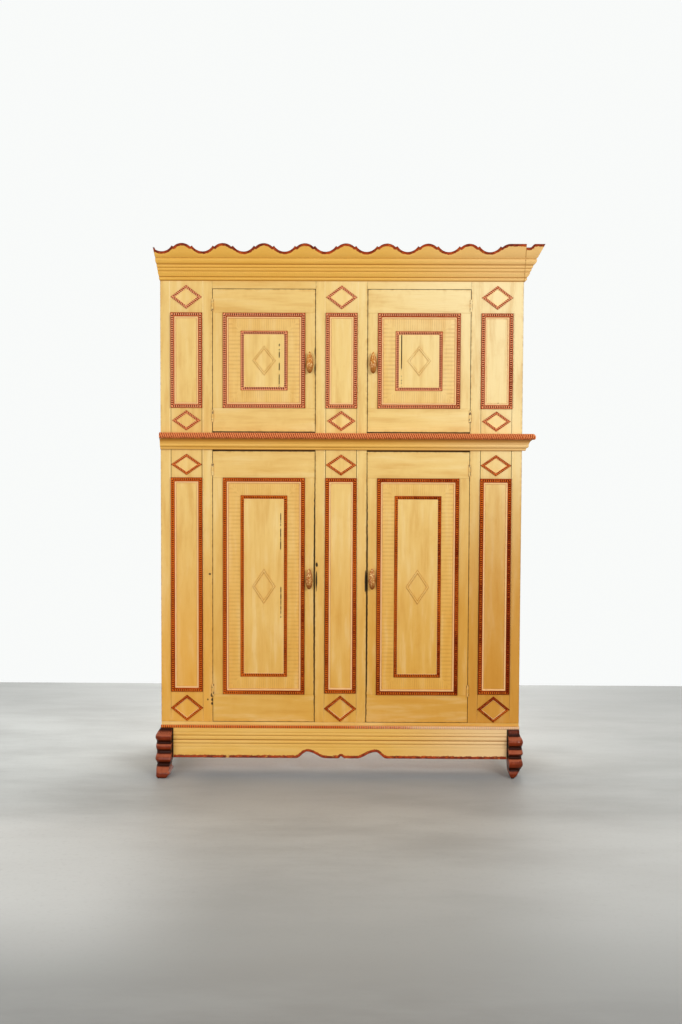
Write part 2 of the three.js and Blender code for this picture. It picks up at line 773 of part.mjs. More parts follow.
// Doors: a grooved frame, its panel, two mitred mouldings, a pull and its latch
const leaf = [doorwayInner + doorSideGap, doorwayOuter - doorSideGap];
const opening = [leaf[0] + stileWidth, leaf[1] - stileWidth];
const leafMiddle = (leaf[0] + leaf[1]) / 2;
const openingWidth = opening[1] - opening[0];
const innerFrameInset = innerInsetShare * openingWidth;
const innerClearWidth = openingWidth - 2 * (innerFrameInset + beadWidth);
const panelDiamondWidth = panelDiamondShare * innerClearWidth;
const pullX = leaf[0] + pullInset;

function doorFrame(tier) {
  const height = [tier.base, tier.top];
  const openingHeight = [tier.base + tier.footRail, tier.top - tier.headRail];
  const groove = [panelRecess, panelRecess + panelThickness + 2 * fit];
  const joints = [[leaf[0], opening[0]], [opening[1], leaf[1]]].flatMap((stile) => (
    openingHeight.map((z) => prismX(seamVee.map(([up, y]) => [y, z + up]), widened(stile, overrun)))
  ));
  const blank = box(leaf, [0, faceThickness], height)
    .subtract(joined(joints))
    .subtract(box(opening, [-overrun, faceThickness + overrun], openingHeight))
    .subtract(box(widened(opening, panelGroove), groove, widened(openingHeight, panelGroove)))
    .subtract(barY(spindleRadius + fit, pullX, [-overrun, faceThickness + overrun], tier.pullLevel));
  const knuckles = Object.values(tier.hingeLevels).map(hingeSpans);
  const hollows = knuckles.map(({ whole }) => (
    barZ(barrelRadius + fit, hingeX, hingeY, widened(whole, fit))
  ));
  const middles = knuckles.map(({ middle }) => joined([
    barZ(barrelRadius, hingeX, hingeY, middle),
    box([leaf[1] - barrelRadius, leaf[1]], [0, barrelRadius], middle),
  ]));
  const bores = knuckles.map(({ whole }) => (
    barZ(hingePinRadius + fit, hingeX, hingeY, widened(whole, overrun))
  ));
  return blank.subtract(joined(hollows)).add(joined(middles)).subtract(joined(bores));
}

function doorPanel(tier) {
  const reach = panelGroove - fit;
  const openingHeight = [tier.base + tier.footRail, tier.top - tier.headRail];
  const face = panelRecess + fit;
  const ring = mitredRing(
    rhombus(panelDiamondWidth, tier.diamondHeight),
    diamondBandWidth,
    diamondBandHeight + fit,
    diamondBandShares,
  );
  const middle = (openingHeight[0] + openingHeight[1]) / 2;
  return box(widened(opening, reach), [face, face + panelThickness], widened(openingHeight, reach))
    .add(ring.translate([leafMiddle, face + fit, middle]));
}

// The outer moulding stands in the frame's opening, the inner one on the panel
function doorMouldings(tier) {
  const height = tier.top - tier.headRail - tier.base - tier.footRail;
  const middle = [leafMiddle, panelRecess, tier.base + tier.footRail + height / 2];
  const outer = rectangle(openingWidth - 2 * fit, height - 2 * fit);
  const inner = rectangle(openingWidth - 2 * innerFrameInset, height - 2 * innerFrameInset);
  return {
    outer: mitredRing(outer, ropeWidth, ropeHeight + panelRecess, ropeShares).translate(middle),
    inner: mitredRing(inner, beadWidth, beadHeight, beadShares).translate(middle),
  };
}

// Turned and faceted like a cone, on a neck, with a spindle that ends in a square
function pull(z) {
  const profile = pullShares.map(([out, up]) => (
    new THREE.Vector2((out * pullWidth) / 2, (up - 1 / 2) * pullLength)
  ));
  const middle = -pullNeck - pullThickness / 2;
  const cone = new THREE.LatheGeometry(profile, pullSides)
    .scale(1, 1, pullThickness / pullWidth)
    .rotateX(Math.PI / 2)
    .translate(pullX, middle, z);
  const inside = faceThickness + latchGap + latchThickness;
  const half = spindleSquare / 2;
  return joined([
    solid(cone),
    barY(pullNeckRadius, pullX, [middle, -fit], z),
    barY(spindleRadius, pullX, [middle, faceThickness], z),
    box([pullX - half, pullX + half], [0, inside], [z - half, z + half]),
  ]);
}

function latch(z) {
  const [y0, y1] = [faceThickness + latchGap, faceThickness + latchGap + latchThickness];
  const half = spindleSquare / 2 + fit;
  const outline = [
    ...arc([pullX, z], [latchHalfWidth, latchHalfWidth], [0, Math.PI], arcSteps),
    [pullX - latchHalfWidth, z - latchLength],
    [pullX + latchHalfWidth, z - latchLength],
  ];
  return prismY(outline, [y0, y1])
    .subtract(box([pullX - half, pullX + half], [y0 - overrun, y1 + overrun], [z - half, z + half]));
}

Object.entries(tiers).forEach(([level, tier]) => {
  Object.entries(hands).forEach(([hand, turned]) => {
    const door = `${level}_${hand}`;
    const mouldings = doorMouldings(tier);
    add(`door_${door}_frame`, turned(doorFrame(tier)), yellowPaint);
    add(`door_${door}_panel`, turned(doorPanel(tier)), yellowPaint);
    add(`door_${door}_outer_moulding`, turned(mouldings.outer), redPaint);
    add(`door_${door}_inner_moulding`, turned(mouldings.inner), redPaint);
    add(`pull_${door}`, turned(pull(tier.pullLevel)), polishedWood);
    add(`latch_${door}`, turned(latch(tier.pullLevel)), bareWood);
    Object.entries(tier.hingeLevels).forEach(([end, z]) => {
      add(`hinge_${door}_${end}`, turned(fixedHinge(z)), iron);
    });
  });
});

// The middle of the whole footprint goes to x = 0, y = 0
const middle = new THREE.Box3().setFromObject(cupboard).getCenter(new THREE.Vector3());
cupboard.position.set(-middle.x, -middle.y, 0);

const group = new THREE.Group();
group.add(cupboard);

export default group;
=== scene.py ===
import math
from functools import reduce

import bmesh
import bpy
import numpy as np
from mathutils import Matrix, Vector


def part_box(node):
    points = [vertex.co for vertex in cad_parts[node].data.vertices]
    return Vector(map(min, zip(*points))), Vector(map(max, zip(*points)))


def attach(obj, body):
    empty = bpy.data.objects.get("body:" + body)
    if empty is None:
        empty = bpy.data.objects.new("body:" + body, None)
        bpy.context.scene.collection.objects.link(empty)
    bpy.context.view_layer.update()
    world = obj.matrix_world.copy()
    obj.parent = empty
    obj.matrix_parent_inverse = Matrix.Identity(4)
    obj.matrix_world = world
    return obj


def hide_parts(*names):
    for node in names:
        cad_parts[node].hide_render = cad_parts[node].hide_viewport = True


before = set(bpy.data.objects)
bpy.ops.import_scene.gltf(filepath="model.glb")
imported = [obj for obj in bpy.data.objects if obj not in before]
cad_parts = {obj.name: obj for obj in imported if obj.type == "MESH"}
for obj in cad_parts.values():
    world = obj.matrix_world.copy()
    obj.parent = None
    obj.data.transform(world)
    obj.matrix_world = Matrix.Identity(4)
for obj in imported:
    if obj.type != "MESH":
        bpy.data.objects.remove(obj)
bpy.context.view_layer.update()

# A painted linen cupboard on a plain floor. The CAD gives the case, the doors and the
# inside. The pieces made here are its carved and moulded trim, in millimetres from the
# middle of the case's front at the floor.
MM = 0.001
CASE_DEPTH = 500.0
side_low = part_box("side_left")[0]
side_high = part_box("side_right")[1]
back_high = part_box("back_boards")[1]
ORIGIN = np.array([(side_low.x + side_high.x) / 2, back_high.y - CASE_DEPTH * MM, 0]) / MM
CASE_HALF = (side_high.x - side_low.x) / 2 / MM
# The front of the doors and pilasters in metres, and how far a run stays off the case
FACE = ORIGIN[1] * MM
FIT = 0.3

# Camera, five metres before the case at the height of the upper doors, a little turned down
CAMERA_PLACE = (ORIGIN + np.array([39.6, -5000.0, 1314.9])) * MM
CAMERA_TILT, CAMERA_YAW, CAMERA_ROLL = map(math.radians, (3.095, -0.448, 0.243))
CAMERA_LENS, SENSOR = 67.455, 36.0
CLIP_NEAR, CLIP_FAR = 0.1, 60


def span(node):
    """A CAD node's lowest and highest corners."""
    low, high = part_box(node)
    return np.array(low) / MM - ORIGIN, np.array(high) / MM - ORIGIN


def shown(name, data):
    """A new object in the scene."""
    made = bpy.data.objects.new(name, data)
    bpy.context.scene.collection.objects.link(made)
    return made


def aimed(place, forward, roll=0.0):
    """The matrix of a camera or lamp that looks along forward."""
    forward = Vector(forward).normalized()
    right = forward.cross(Vector((0, 0, 1))).normalized()
    up = right.cross(forward)
    across = right * math.cos(roll) + up * math.sin(roll)
    upright = up * math.cos(roll) - right * math.sin(roll)
    turned = Matrix((across, upright, -forward)).transposed().to_4x4()
    return Matrix.Translation(Vector(place)) @ turned


camera_data = bpy.data.cameras.new("camera")
camera_data.sensor_fit = "HORIZONTAL"
camera_data.sensor_width = SENSOR
camera_data.lens = CAMERA_LENS
camera_data.clip_start, camera_data.clip_end = CLIP_NEAR, CLIP_FAR
camera = shown("camera", camera_data)
camera.matrix_world = aimed(CAMERA_PLACE, (
    math.sin(CAMERA_YAW) * math.cos(CAMERA_TILT),
    math.cos(CAMERA_YAW) * math.cos(CAMERA_TILT),
    -math.sin(CAMERA_TILT),
), CAMERA_ROLL)
bpy.context.scene.camera = camera
bpy.context.scene.view_settings.view_transform = "Standard"


# Shader maths
class Term:
    """A socket that sums and products can be written with."""

    def __init__(self, recipe, socket):
        self.recipe = recipe
        self.socket = socket

    def __add__(self, other):
        return self.recipe.maths("ADD", self, other)

    def __radd__(self, other):
        return self.recipe.maths("ADD", other, self)

    def __sub__(self, other):
        return self.recipe.maths("SUBTRACT", self, other)

    def __rsub__(self, other):
        return self.recipe.maths("SUBTRACT", other, self)

    def __mul__(self, other):
        return self.recipe.maths("MULTIPLY", self, other)

    def __rmul__(self, other):
        return self.recipe.maths("MULTIPLY", other, self)

    def __truediv__(self, other):
        return self.recipe.maths("DIVIDE", self, other)

    def __abs__(self):
        return self.recipe.maths("ABSOLUTE", self)


class Recipe:
    """The nodes of one material or of the world."""

    def __init__(self, tree):
        self.tree = tree

    def node(self, kind, settings=None, values=None, out=0):
        """Any node: its type, then its settings, then what goes into its sockets."""
        made = self.tree.nodes.new(kind)
        for setting, value in (settings or {}).items():
            setattr(made, setting, value)
        for socket, value in (values or {}).items():
            self.feed(made.inputs[socket], value)
        return Term(self, made.outputs[out])

    def feed(self, socket, value):
        if isinstance(value, Term):
            self.tree.links.new(value.socket, socket)
        else:
            socket.default_value = value

    def maths(self, operation, *terms):
        return self.node("ShaderNodeMath", {"operation": operation}, dict(enumerate(terms)))

    def fold(self, operation, *terms):
        """The least or the most of several terms."""
        return reduce(lambda first, term: self.maths(operation, first, term), terms)

    def mixed(self, share, first, second):
        """A colour that goes from first to second as share goes from 0 to 1."""
        return self.node(
            "ShaderNodeMix", {"data_type": "RGBA"}, {0: share, 6: first, 7: second}, 2)

    def step(self, value, low, high):
        """0 at low, 1 at high and smooth between them."""
        return self.node(
            "ShaderNodeMapRange",
            {"interpolation_type": "SMOOTHSTEP"},
            {"Value": value, "From Min": low, "From Max": high},
        )

    def coats(self, base, *coats):
        """Colours laid over a base. A coat is a value, where it starts and where it is
        full, how much it then covers, and its colour. One that covers nothing is left out."""
        for value, low, high, cover, colour in coats:
            if isinstance(cover, Term) or cover:
                share = self.step(value, low, high)
                base = self.mixed(share if cover == 1 else share * cover, base, colour)
        return base

    def mark(self, name):
        """A number that is stored on the piece's own points."""
        return self.node("ShaderNodeAttribute", {"attribute_name": name}, out="Fac")


class Finish(Recipe):
    """A material round one principled shader."""

    def __init__(self, name, constants):
        self.material = bpy.data.materials.new(name)
        self.material.use_nodes = True
        super().__init__(self.material.node_tree)
        self.shader = self.tree.nodes["Principled BSDF"]
        for socket, value in constants.items():
            self.shader.inputs[socket].default_value = value
        self.place = self.node("ShaderNodeTexCoord", out="Object")

    def axes(self):
        split = self.node("ShaderNodeSeparateXYZ", values={0: self.place}).socket.node
        return [Term(self, output) for output in split.outputs]

    def noise(self, scales, detail=3.0, roughness=0.55, shift=0.0):
        """Noise with that many patches to the metre, along each axis or along all."""
        scales = scales if isinstance(scales, tuple) else (scales,) * 3
        placed = self.node("ShaderNodeVectorMath", {"operation": "MULTIPLY_ADD"}, {
            0: self.place, 1: scales, 2: (shift,) * 3})
        return self.node("ShaderNodeTexNoise", values={
            "Vector": placed, "Scale": 1.0, "Detail": detail, "Roughness": roughness})

    def done(self, base, roughness, streaks=None, thick=0.0006, strength=0.3, **sockets):
        """The material, with its streaks in relief."""
        sockets.update(Base_Color=base, Roughness=roughness)
        if streaks:
            sockets["Normal"] = self.node("ShaderNodeBump", values={
                "Height": streaks, "Distance": thick, "Strength": strength})
        for socket, value in sockets.items():
            self.feed(self.shader.inputs[socket.replace("_", " ")], value)
        return self.material

    def painted(self, base, streaks, smooth=0.4, uneven=0.24, patch=30, **others):
        """A paint that is smooth in patches and rougher in others."""
        return self.done(base, smooth + self.noise(patch) * uneven, streaks, **others)


def shade(red, green, blue):
    """A colour as it is seen, from 0 to 255, made into the shader's own numbers."""
    def lit(value):
        value /= 255
        return value / 12.92 if value <= 0.04045 else ((value + 0.055) / 1.055) ** 2.4
    return (lit(red), lit(green), lit(blue), 1.0)


YELLOW_HIGH = shade(240, 206, 131)
YELLOW_LOW = shade(219, 165, 74)
YELLOW_GLAZE = shade(198, 132, 34)
YELLOW_PALE = shade(252, 232, 180)
ORANGE = shade(230, 172, 66)
ORANGE_SHADE = shade(164, 98, 8)
PALE_WEAR_AND_SHEEN = shade(240, 208, 162)
LEDGE = shade(244, 194, 140)
SHADED_LOW = shade(224, 150, 30)
SHADED_LOW_RIGHT = shade(186, 116, 28)
DIRT_AND_SHADE = shade(66, 40, 12)
BLACK_DIRT_AND_SHADE = shade(14, 6, 2)
RED = shade(180, 64, 8)
RED_DEEP = shade(110, 30, 0)
RED_WORN_AND_LIT = shade(226, 116, 34)
RED_ROSY = shade(244, 168, 122)
LINE = shade(72, 16, 0)
WAIST_RED = shade(240, 134, 72)
WAIST_DEEP = shade(214, 100, 44)
WAIST_CUT = shade(128, 34, 4)
FOOT_RED = shade(104, 38, 14)
FOOT_RED_SHADE = shade(32, 9, 2)
FOOT_HIGHLIGHT = shade(190, 104, 70)
BARE = shade(132, 92, 52)
BARE_DARK = shade(84, 54, 28)
WOOD_PALE = shade(198, 154, 100)
WOOD_BROWN = shade(158, 110, 62)
WOOD_DARK = shade(116, 76, 40)
WOOD_OLD = shade(128, 92, 56)
PULL_GOLD = shade(214, 134, 38)
PULL_BROWN = shade(178, 96, 18)
PULL_DARK = shade(142, 70, 10)
PULL_LOW_SHADE = shade(138, 54, 0)
PULL_SHADE = shade(92, 42, 2)
PULL_GLINT = shade(255, 216, 140)
RUST_DARK = shade(64, 42, 26)
RUST = shade(112, 78, 48)
SATIN = {"Metallic": 0.0, "Specular IOR Level": 0.14}
DULL = {"Metallic": 0.0, "Specular IOR Level": 0.05}
GLOSSY = {"Metallic": 0.0, "Specular IOR Level": 0.26}
FOOT_GLOSS = {"Metallic": 0.0, "Coat Roughness": 0.12, "Specular IOR Level": 0.1}
PULL_GLOSS = {"Metallic": 0.0, "Coat Roughness": 0.14, "Specular IOR Level": 0.16}
# Fine and broad streaks, which run up or across
GRAINS = {
    "up": ((420, 420, 9), (34, 34, 4.2)),
    "across": ((9, 420, 420), (4.2, 34, 34)),
}


def yellow_colour(finish, grain, tone_and_shade=0.0):
    """Old yellow paint over a brushed glaze, with painted light that makes it paler towards
    the top and the upper right and darker at the lower right. Gives the colour and the fine
    streaks."""
    fine_scales, broad_scales = GRAINS[grain]
    across, _, height = finish.axes()
    level = finish.step(height, 0.1, 1.6)
    right = finish.step(across, -0.7, 0.7)
    patches = finish.noise((5.5, 5.5, 4.0), 4.0)
    fine = finish.noise(fine_scales)
    broad = finish.noise(broad_scales, 4.0, shift=3.0)
    mottle = finish.noise((26, 26, 20), 5.0, shift=15.0)
    # Painted light: the tone rises towards the top and the upper right and falls at the lower
    # right, with a pale coat at the upper right. A deeper tone darkens it all.
    tone = level + (patches - 0.5) * 0.6 + (right - 0.5) * (level - 0.55) * 0.9 - tone_and_shade
    return finish.coats(
        finish.mixed(tone, YELLOW_LOW, YELLOW_HIGH),
        (across + height * 0.7, 1.15, 2.0, 0.8, YELLOW_PALE),
        (broad, 0.48, 0.72, 0.3, YELLOW_GLAZE),
        (broad, 0.5, 0.3, 0.2, YELLOW_PALE),
        (mottle, 0.52, 0.72, 0.1, YELLOW_GLAZE),
        (fine, 0.52, 0.8, 0.24, YELLOW_GLAZE),
    ), fine


def specks(finish, base):
    """Small chips and fly specks in the paint."""
    chips = finish.noise(150, 2.0, shift=7.0)
    patches = finish.noise(9, 2.0, shift=11.0)
    return finish.coats(base, (chips, 0.76, 0.8, finish.step(patches, 0.5, 0.62) * 0.5, DIRT_AND_SHADE))


def bare_behind(finish, base, fine, first=0.002, last=0.006):
    """Bare brown wood behind the painted face, from first to last metres behind it."""
    _, depth, _ = finish.axes()
    bare = finish.coats(BARE, (fine, 0.35, 0.7, 0.6, BARE_DARK))
    return finish.coats(base, (depth, FACE + first, FACE + last, 1.0, bare))


def yellow_boards(name, grain, tone_and_shade, faced=True):
    """Paint for a board, and bare wood behind it where it has a painted face only."""
    finish = Finish(name, SATIN)
    base, fine = yellow_colour(finish, grain, tone_and_shade)
    base = specks(finish, base)
    return finish.painted(bare_behind(finish, base, fine) if faced else base, fine)


def yellow_frame(name, node, joints=(), seams=(), knots_and_gap_shade=(), tone_and_shade=0.0, shade_to_foot=0.0):
    """Paint for a framed door or a pilaster: grime and painted shade gather at its edges,
    joints are the levels where two boards meet, seams the places across of joints whose
    grooves are painted paler against their shade, dark spots are knots, chips and painted
    shade at the door gaps, each given by place across, level, breadth and height, and it is
    painted darker and browner towards the foot and the right, as shade."""
    finish = Finish(name, SATIN)
    low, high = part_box(node)
    across, _, height = finish.axes()
    base, fine = yellow_colour(finish, "up", tone_and_shade)
    if joints:
        level, fine_level = yellow_colour(finish, "across", tone_and_shade)
        inside = (finish.maths("GREATER_THAN", height, joints[0])
                  * finish.maths("LESS_THAN", height, joints[1]))
        base = finish.mixed(inside, level, base)
        fine = fine_level + (fine - fine_level) * inside
    edge = finish.fold("MINIMUM", across - low.x, high.x - across, height - low.z, high.z - height)
    ragged = finish.noise(60, shift=5.0)
    # The seams' grooves are painted paler, a painted highlight against the shade in them, the more
    # so higher up
    for seam in seams:
        seam_highlight = 0.1 + finish.step(height, 0.6, 1.1) * 0.35
        base = finish.coats(base, (abs(across - seam), 0.0015, 0.0009, seam_highlight, YELLOW_PALE))
    # Painted shade: darker and browner towards the foot and the right
    if shade_to_foot:
        low_shade = finish.mixed(finish.step(across, -0.3, 0.5), SHADED_LOW, SHADED_LOW_RIGHT)
        base = finish.coats(base, (height - across * 0.3, 1.2, 0.6, shade_to_foot, low_shade))
    # Grime at the edges, darkest in the last two millimetres, which also stands as painted shade
    # in the gaps
    base = finish.coats(
        base,
        (edge, 0.012, 0.0, finish.step(ragged, 0.38, 0.7) * 0.3, YELLOW_GLAZE),
        (edge, 0.0018, 0.0004, 0.3 + finish.step(ragged, 0.4, 0.66) * 0.45, DIRT_AND_SHADE),
    )
    relief = fine
    if joints:
        nearest = finish.fold("MINIMUM", *[abs(height - joint) for joint in joints])
        line = finish.step(nearest, 0.0012, 0.0003)
        broken = finish.step(finish.noise(30, shift=2.0), 0.3, 0.6)
        base = finish.mixed(line * broken * 0.16, base, DIRT_AND_SHADE)
        relief = fine - line * 2
    # Dark spots: knots and chips, and painted shade in the door gaps
    for place, level, breadth, tall in knots_and_gap_shade:
        aside = (across - place) / breadth
        above = (height - level) / tall
        far = finish.maths("SQRT", aside * aside + above * above) + (ragged - 0.5) * 0.9
        base = finish.coats(base, (far, 1.1, 0.75, 0.94, BLACK_DIRT_AND_SHADE))
    return finish.painted(bare_behind(finish, specks(finish, base), fine), relief)


def moulded_yellow(name, grain, worn=None, orange=0.0, depth=1.0, pale=0.0, tone_and_shade=0.1):
    """Paint for a run of moulding. The piece's own marks say where it is hollow or turned
    down, which is painted darker as shade, where lines and gaps of painted shade lie, and how
    far the red edge reaches, on a piece that has one and so says how worn it is. A pale coat
    towards the right is a painted sheen."""
    finish = Finish(name, GLOSSY)
    base, fine = yellow_colour(finish, grain, tone_and_shade)
    across, _, _ = finish.axes()
    hollow = finish.mark("hollow")
    if depth < 1:
        broken = finish.step(finish.noise(30, shift=21.0), 0.35, 0.65)
        hollow = hollow * (0.55 + broken * 0.45)
    # A painted sheen towards the right, painted shade in the hollows and on faces turned down,
    # then painted lines and gaps of shade
    base = finish.coats(
        finish.mixed(orange, base, ORANGE),
        (across, 0.1, 0.72, pale, PALE_WEAR_AND_SHEEN),
        (hollow, 0.1, 0.95, 0.8 * depth, ORANGE_SHADE),
        (hollow, 0.8, 1.0, 0.14 * depth, DIRT_AND_SHADE),
    )
    base = finish.mixed(finish.mark("line") * 0.6, base, ORANGE_SHADE)
    base = finish.mixed(finish.mark("gap_shade"), base, BLACK_DIRT_AND_SHADE)
    if worn is not None:
        red = finish.mark("red")
        ragged = finish.noise(90, shift=4.0)
        chips = finish.noise((24, 24, 40), 4.0, shift=9.0)
        tone = finish.coats(
            RED_DEEP,
            (finish.noise(40, 4.0), 0.35, 0.7, 1.0, RED),
            (ragged, 0.52, 0.75, 0.5, RED_WORN_AND_LIT),
            (red, 0.8, 1.0, 0.6, LINE),
        )
        left = 1 - finish.step(chips, 0.66 - worn, 0.71 - worn) * 0.8
        base = finish.coats(base, (red + (ragged - 0.5) * 0.4, 0.46, 0.56, left, tone))
    return finish.painted(specks(finish, base), fine, 0.36, 0.22)


def cracked_panel(name):
    """Paint for a door's board, with dirt and painted shade in its cracks."""
    finish = Finish(name, SATIN)
    base, fine = yellow_colour(finish, "up")
    base = bare_behind(finish, specks(finish, base), fine, 0.0095, 0.0125)
    base = finish.coats(base, (finish.mark("hollow"), 0.05, 0.45, 1.0, BLACK_DIRT_AND_SHADE))
    return finish.painted(base, fine, 0.38, 0.22)


def red_rope(name, worn, ledge=LEDGE, faded=0.0, deep=RED_DEEP, bright=RED, notched=LINE):
    """Red paint on a notched moulding, with a warm ledge inside it. The piece's marks say
    where it is red, where it is notched and painted dark as shade, where its tooth tops are
    rubbed pale, as wear and a painted highlight, tooth by tooth, and where a dark line of
    painted shade lies."""
    finish = Finish(name, DULL)
    yellow, fine = yellow_colour(finish, "up", 0.1)
    red, hollow, rubbed_and_lit, line = map(finish.mark, ("red", "hollow", "rubbed_and_lit", "line"))
    ragged = finish.noise(170, shift=1.0)
    patches = finish.noise(7, shift=6.0)
    across, _, height = finish.axes()
    # Brighter higher up and towards the left, in patches
    up_and_left = (height - 1.0) * 0.3 - across * 0.22 + (patches - 0.5) * 0.9
    # Tooth tops, rubbed pale as wear and a painted highlight
    crest = finish.step(hollow, 0.6, 0.25) * finish.step(rubbed_and_lit, 0.03, 0.09)
    worn_and_lit_tone = finish.mixed(finish.step(height, 1.1, 1.6), RED_WORN_AND_LIT, RED_ROSY)
    # The red deepens into painted shade in the notches
    tone = finish.coats(
        deep,
        (up_and_left + (ragged - 0.5) * 0.7, -0.55, 0.25, 1.0, bright),
        (rubbed_and_lit + up_and_left + (ragged - 0.5) * 0.5, -0.15, 0.35, crest * worn, worn_and_lit_tone),
        (hollow, 0.4, 0.75, 1.0, notched),
    )
    if faded:
        gone = across + (patches - 0.5) * 0.5 + (ragged - 0.5) * 0.3
        tone = finish.coats(tone, (gone, -0.05, 0.42, faded, PALE_WEAR_AND_SHEEN))
    inner = finish.mixed(0.75, yellow, ledge)
    base = finish.coats(inner, (red + (ragged - 0.5) * 0.3, 0.4, 0.6, 1.0, tone))
    # A broken dark line of painted shade
    base = finish.mixed(line * (0.35 + finish.step(ragged, 0.4, 0.6) * 0.55), base, LINE)
    return finish.painted(base, ragged + fine * 0.3, 0.34, 0.25, 60)


# Red paint of the feet, with painted shade in the marked hollows and a painted highlight where
# they are lit
def foot_paint(name):
    finish = Finish(name, FOOT_GLOSS)
    hollow, lit = map(finish.mark, ("hollow", "lit"))
    ragged = finish.noise((70, 70, 30), 4.0, shift=1.0)
    patches = finish.noise((18, 18, 14), shift=6.0)
    base = finish.coats(
        FOOT_RED,
        (patches, 0.35, 0.75, 0.3, RED),
        (lit + (ragged - 0.5) * 0.8, 0.3, 0.9, 0.6, FOOT_HIGHLIGHT),
        (hollow, 0.1, 0.8, 0.92, FOOT_RED_SHADE),
    )
    coat = (0.04 + patches * 0.12) * finish.step(hollow, 0.5, 0.0)
    return finish.painted(base, ragged, 0.24, 0.25, 50, thick=0.0012, Coat_Weight=coat)


def bare_wood(name, grain, calm=1.0):
    finish = Finish(name, {"Metallic": 0.0})
    fine_scales, broad_scales = GRAINS[grain]
    fine = finish.noise(fine_scales, 4.0)
    base = finish.coats(
        WOOD_PALE,
        (finish.noise(broad_scales, 5.0, shift=3.0), 0.3, 0.7, calm, WOOD_BROWN),
        (fine, 0.5, 0.75, 0.5, WOOD_DARK),
        (finish.noise(4), 0.45, 0.75, 0.35, WOOD_OLD),
    )
    return finish.done(base, 0.6 + fine * 0.25, fine, 0.001, 0.4 * calm)


def polished_wood(name):
    finish = Finish(name, PULL_GLOSS)
    fine = finish.noise((600, 600, 22), 4.0)
    patches = finish.noise((60, 60, 40))
    glints = finish.noise((280, 280, 190), 2.0, shift=5.0)
    _, _, height = finish.axes()
    # Lower pulls painted darker as shade, glints are painted highlights on the lit facets, and
    # painted shade lies where it is marked hollow
    base = finish.coats(
        PULL_GOLD,
        (fine, 0.35, 0.7, 1.0, PULL_BROWN),
        (patches, 0.4, 0.75, 0.5, PULL_DARK),
        (height, 1.3, 0.9, 0.5, PULL_LOW_SHADE),
        (glints, 0.5, 0.62, finish.mark("lit") * 0.8, PULL_GLINT),
    )
    base = finish.mixed(finish.mark("hollow") * 0.85, base, PULL_SHADE)
    return finish.done(
        base, 0.24 + patches * 0.2, fine, 0.0005, Coat_Weight=0.05 + patches * 0.12)


def painted_iron(name):
    """Hinge iron under worn yellow paint, with rust in its gaps."""
    finish = Finish(name, {})
    yellow, _ = yellow_colour(finish, "up")
    ragged = finish.noise((160, 160, 90), 4.0, shift=2.0)
    worn = finish.step(ragged, 0.52, 0.6)
    rust = finish.mixed(finish.noise(300, 2.0), RUST_DARK, RUST)
    return finish.done(
        finish.mixed(worn, yellow, rust), 0.45 + ragged * 0.25, ragged - worn * 0.4,
        strength=0.5, Metallic=worn * 0.5)


# Meshes
def woven(stations, wrap_round=True, wrap_along=False):
    """Faces between rows of points, with an end face on each open end."""
    count, width = stations.shape[:2]
    faces = []
    for row in range(count if wrap_along else count - 1):
        after = (row + 1) % count
        for column in range(width if wrap_round else width - 1):
            beside = (column + 1) % width
            faces.append((row * width + column, row * width + beside,
                          after * width + beside, after * width + column))
    if wrap_round and not wrap_along:
        faces.append(tuple(range(width)))
        faces.append(tuple((count - 1) * width + column for column in range(width)))
    return faces


def piece(name, body, points, finish, replaced=(), marks=None, faces=None, sharp=32.0):
    """A mesh from rows of points in millimetres. Points in one place are joined. A mark
    that has one row, or one number to a row, holds for all of them."""
    mesh = bpy.data.meshes.new(name)
    placed = (np.reshape(points, (-1, 3)) + ORIGIN) * MM
    mesh.from_pydata(placed.tolist(), [], woven(points) if faces is None else faces)
    for mark, values in (marks or {}).items():
        values = np.broadcast_to(values, points.shape[:-1]).astype(np.float32)
        layer = mesh.attributes.new(mark, "FLOAT", "POINT")
        layer.data.foreach_set("value", values.ravel())
    shaped = bmesh.new()
    shaped.from_mesh(mesh)
    bmesh.ops.remove_doubles(shaped, verts=shaped.verts, dist=2e-6)
    bmesh.ops.dissolve_degenerate(shaped, edges=shaped.edges, dist=1e-6)
    bmesh.ops.recalc_face_normals(shaped, faces=shaped.faces)
    for face in shaped.faces:
        face.smooth = True
    shaped.to_mesh(mesh)
    shaped.free()
    mesh.set_sharp_from_angle(angle=math.radians(sharp))
    mesh.materials.append(finish)
    made = shown(name, mesh)
    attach(made, body)
    if replaced:
        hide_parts(*replaced)
    return made


def grid(x, y, z):
    """Points from their places across, back and up, in rows that fit one another."""
    return np.stack(np.broadcast_arrays(x, y, z), -1)


def rounded(points, times=1):
    """A polyline with its corners cut, its ends kept."""
    points = np.asarray(points, float)
    for _ in range(times):
        near = points[:-1] * 0.75 + points[1:] * 0.25
        far = points[:-1] * 0.25 + points[1:] * 0.75
        cut = np.stack([near, far], 1).reshape(-1, points.shape[1])
        points = np.vstack([points[:1], cut[1:-1], points[-1:]])
    return points


def notch(phase, sharpness=2.0):
    """A cut at every whole number of phase."""
    return ((1 + np.cos(2 * np.pi * phase)) / 2) ** sharpness


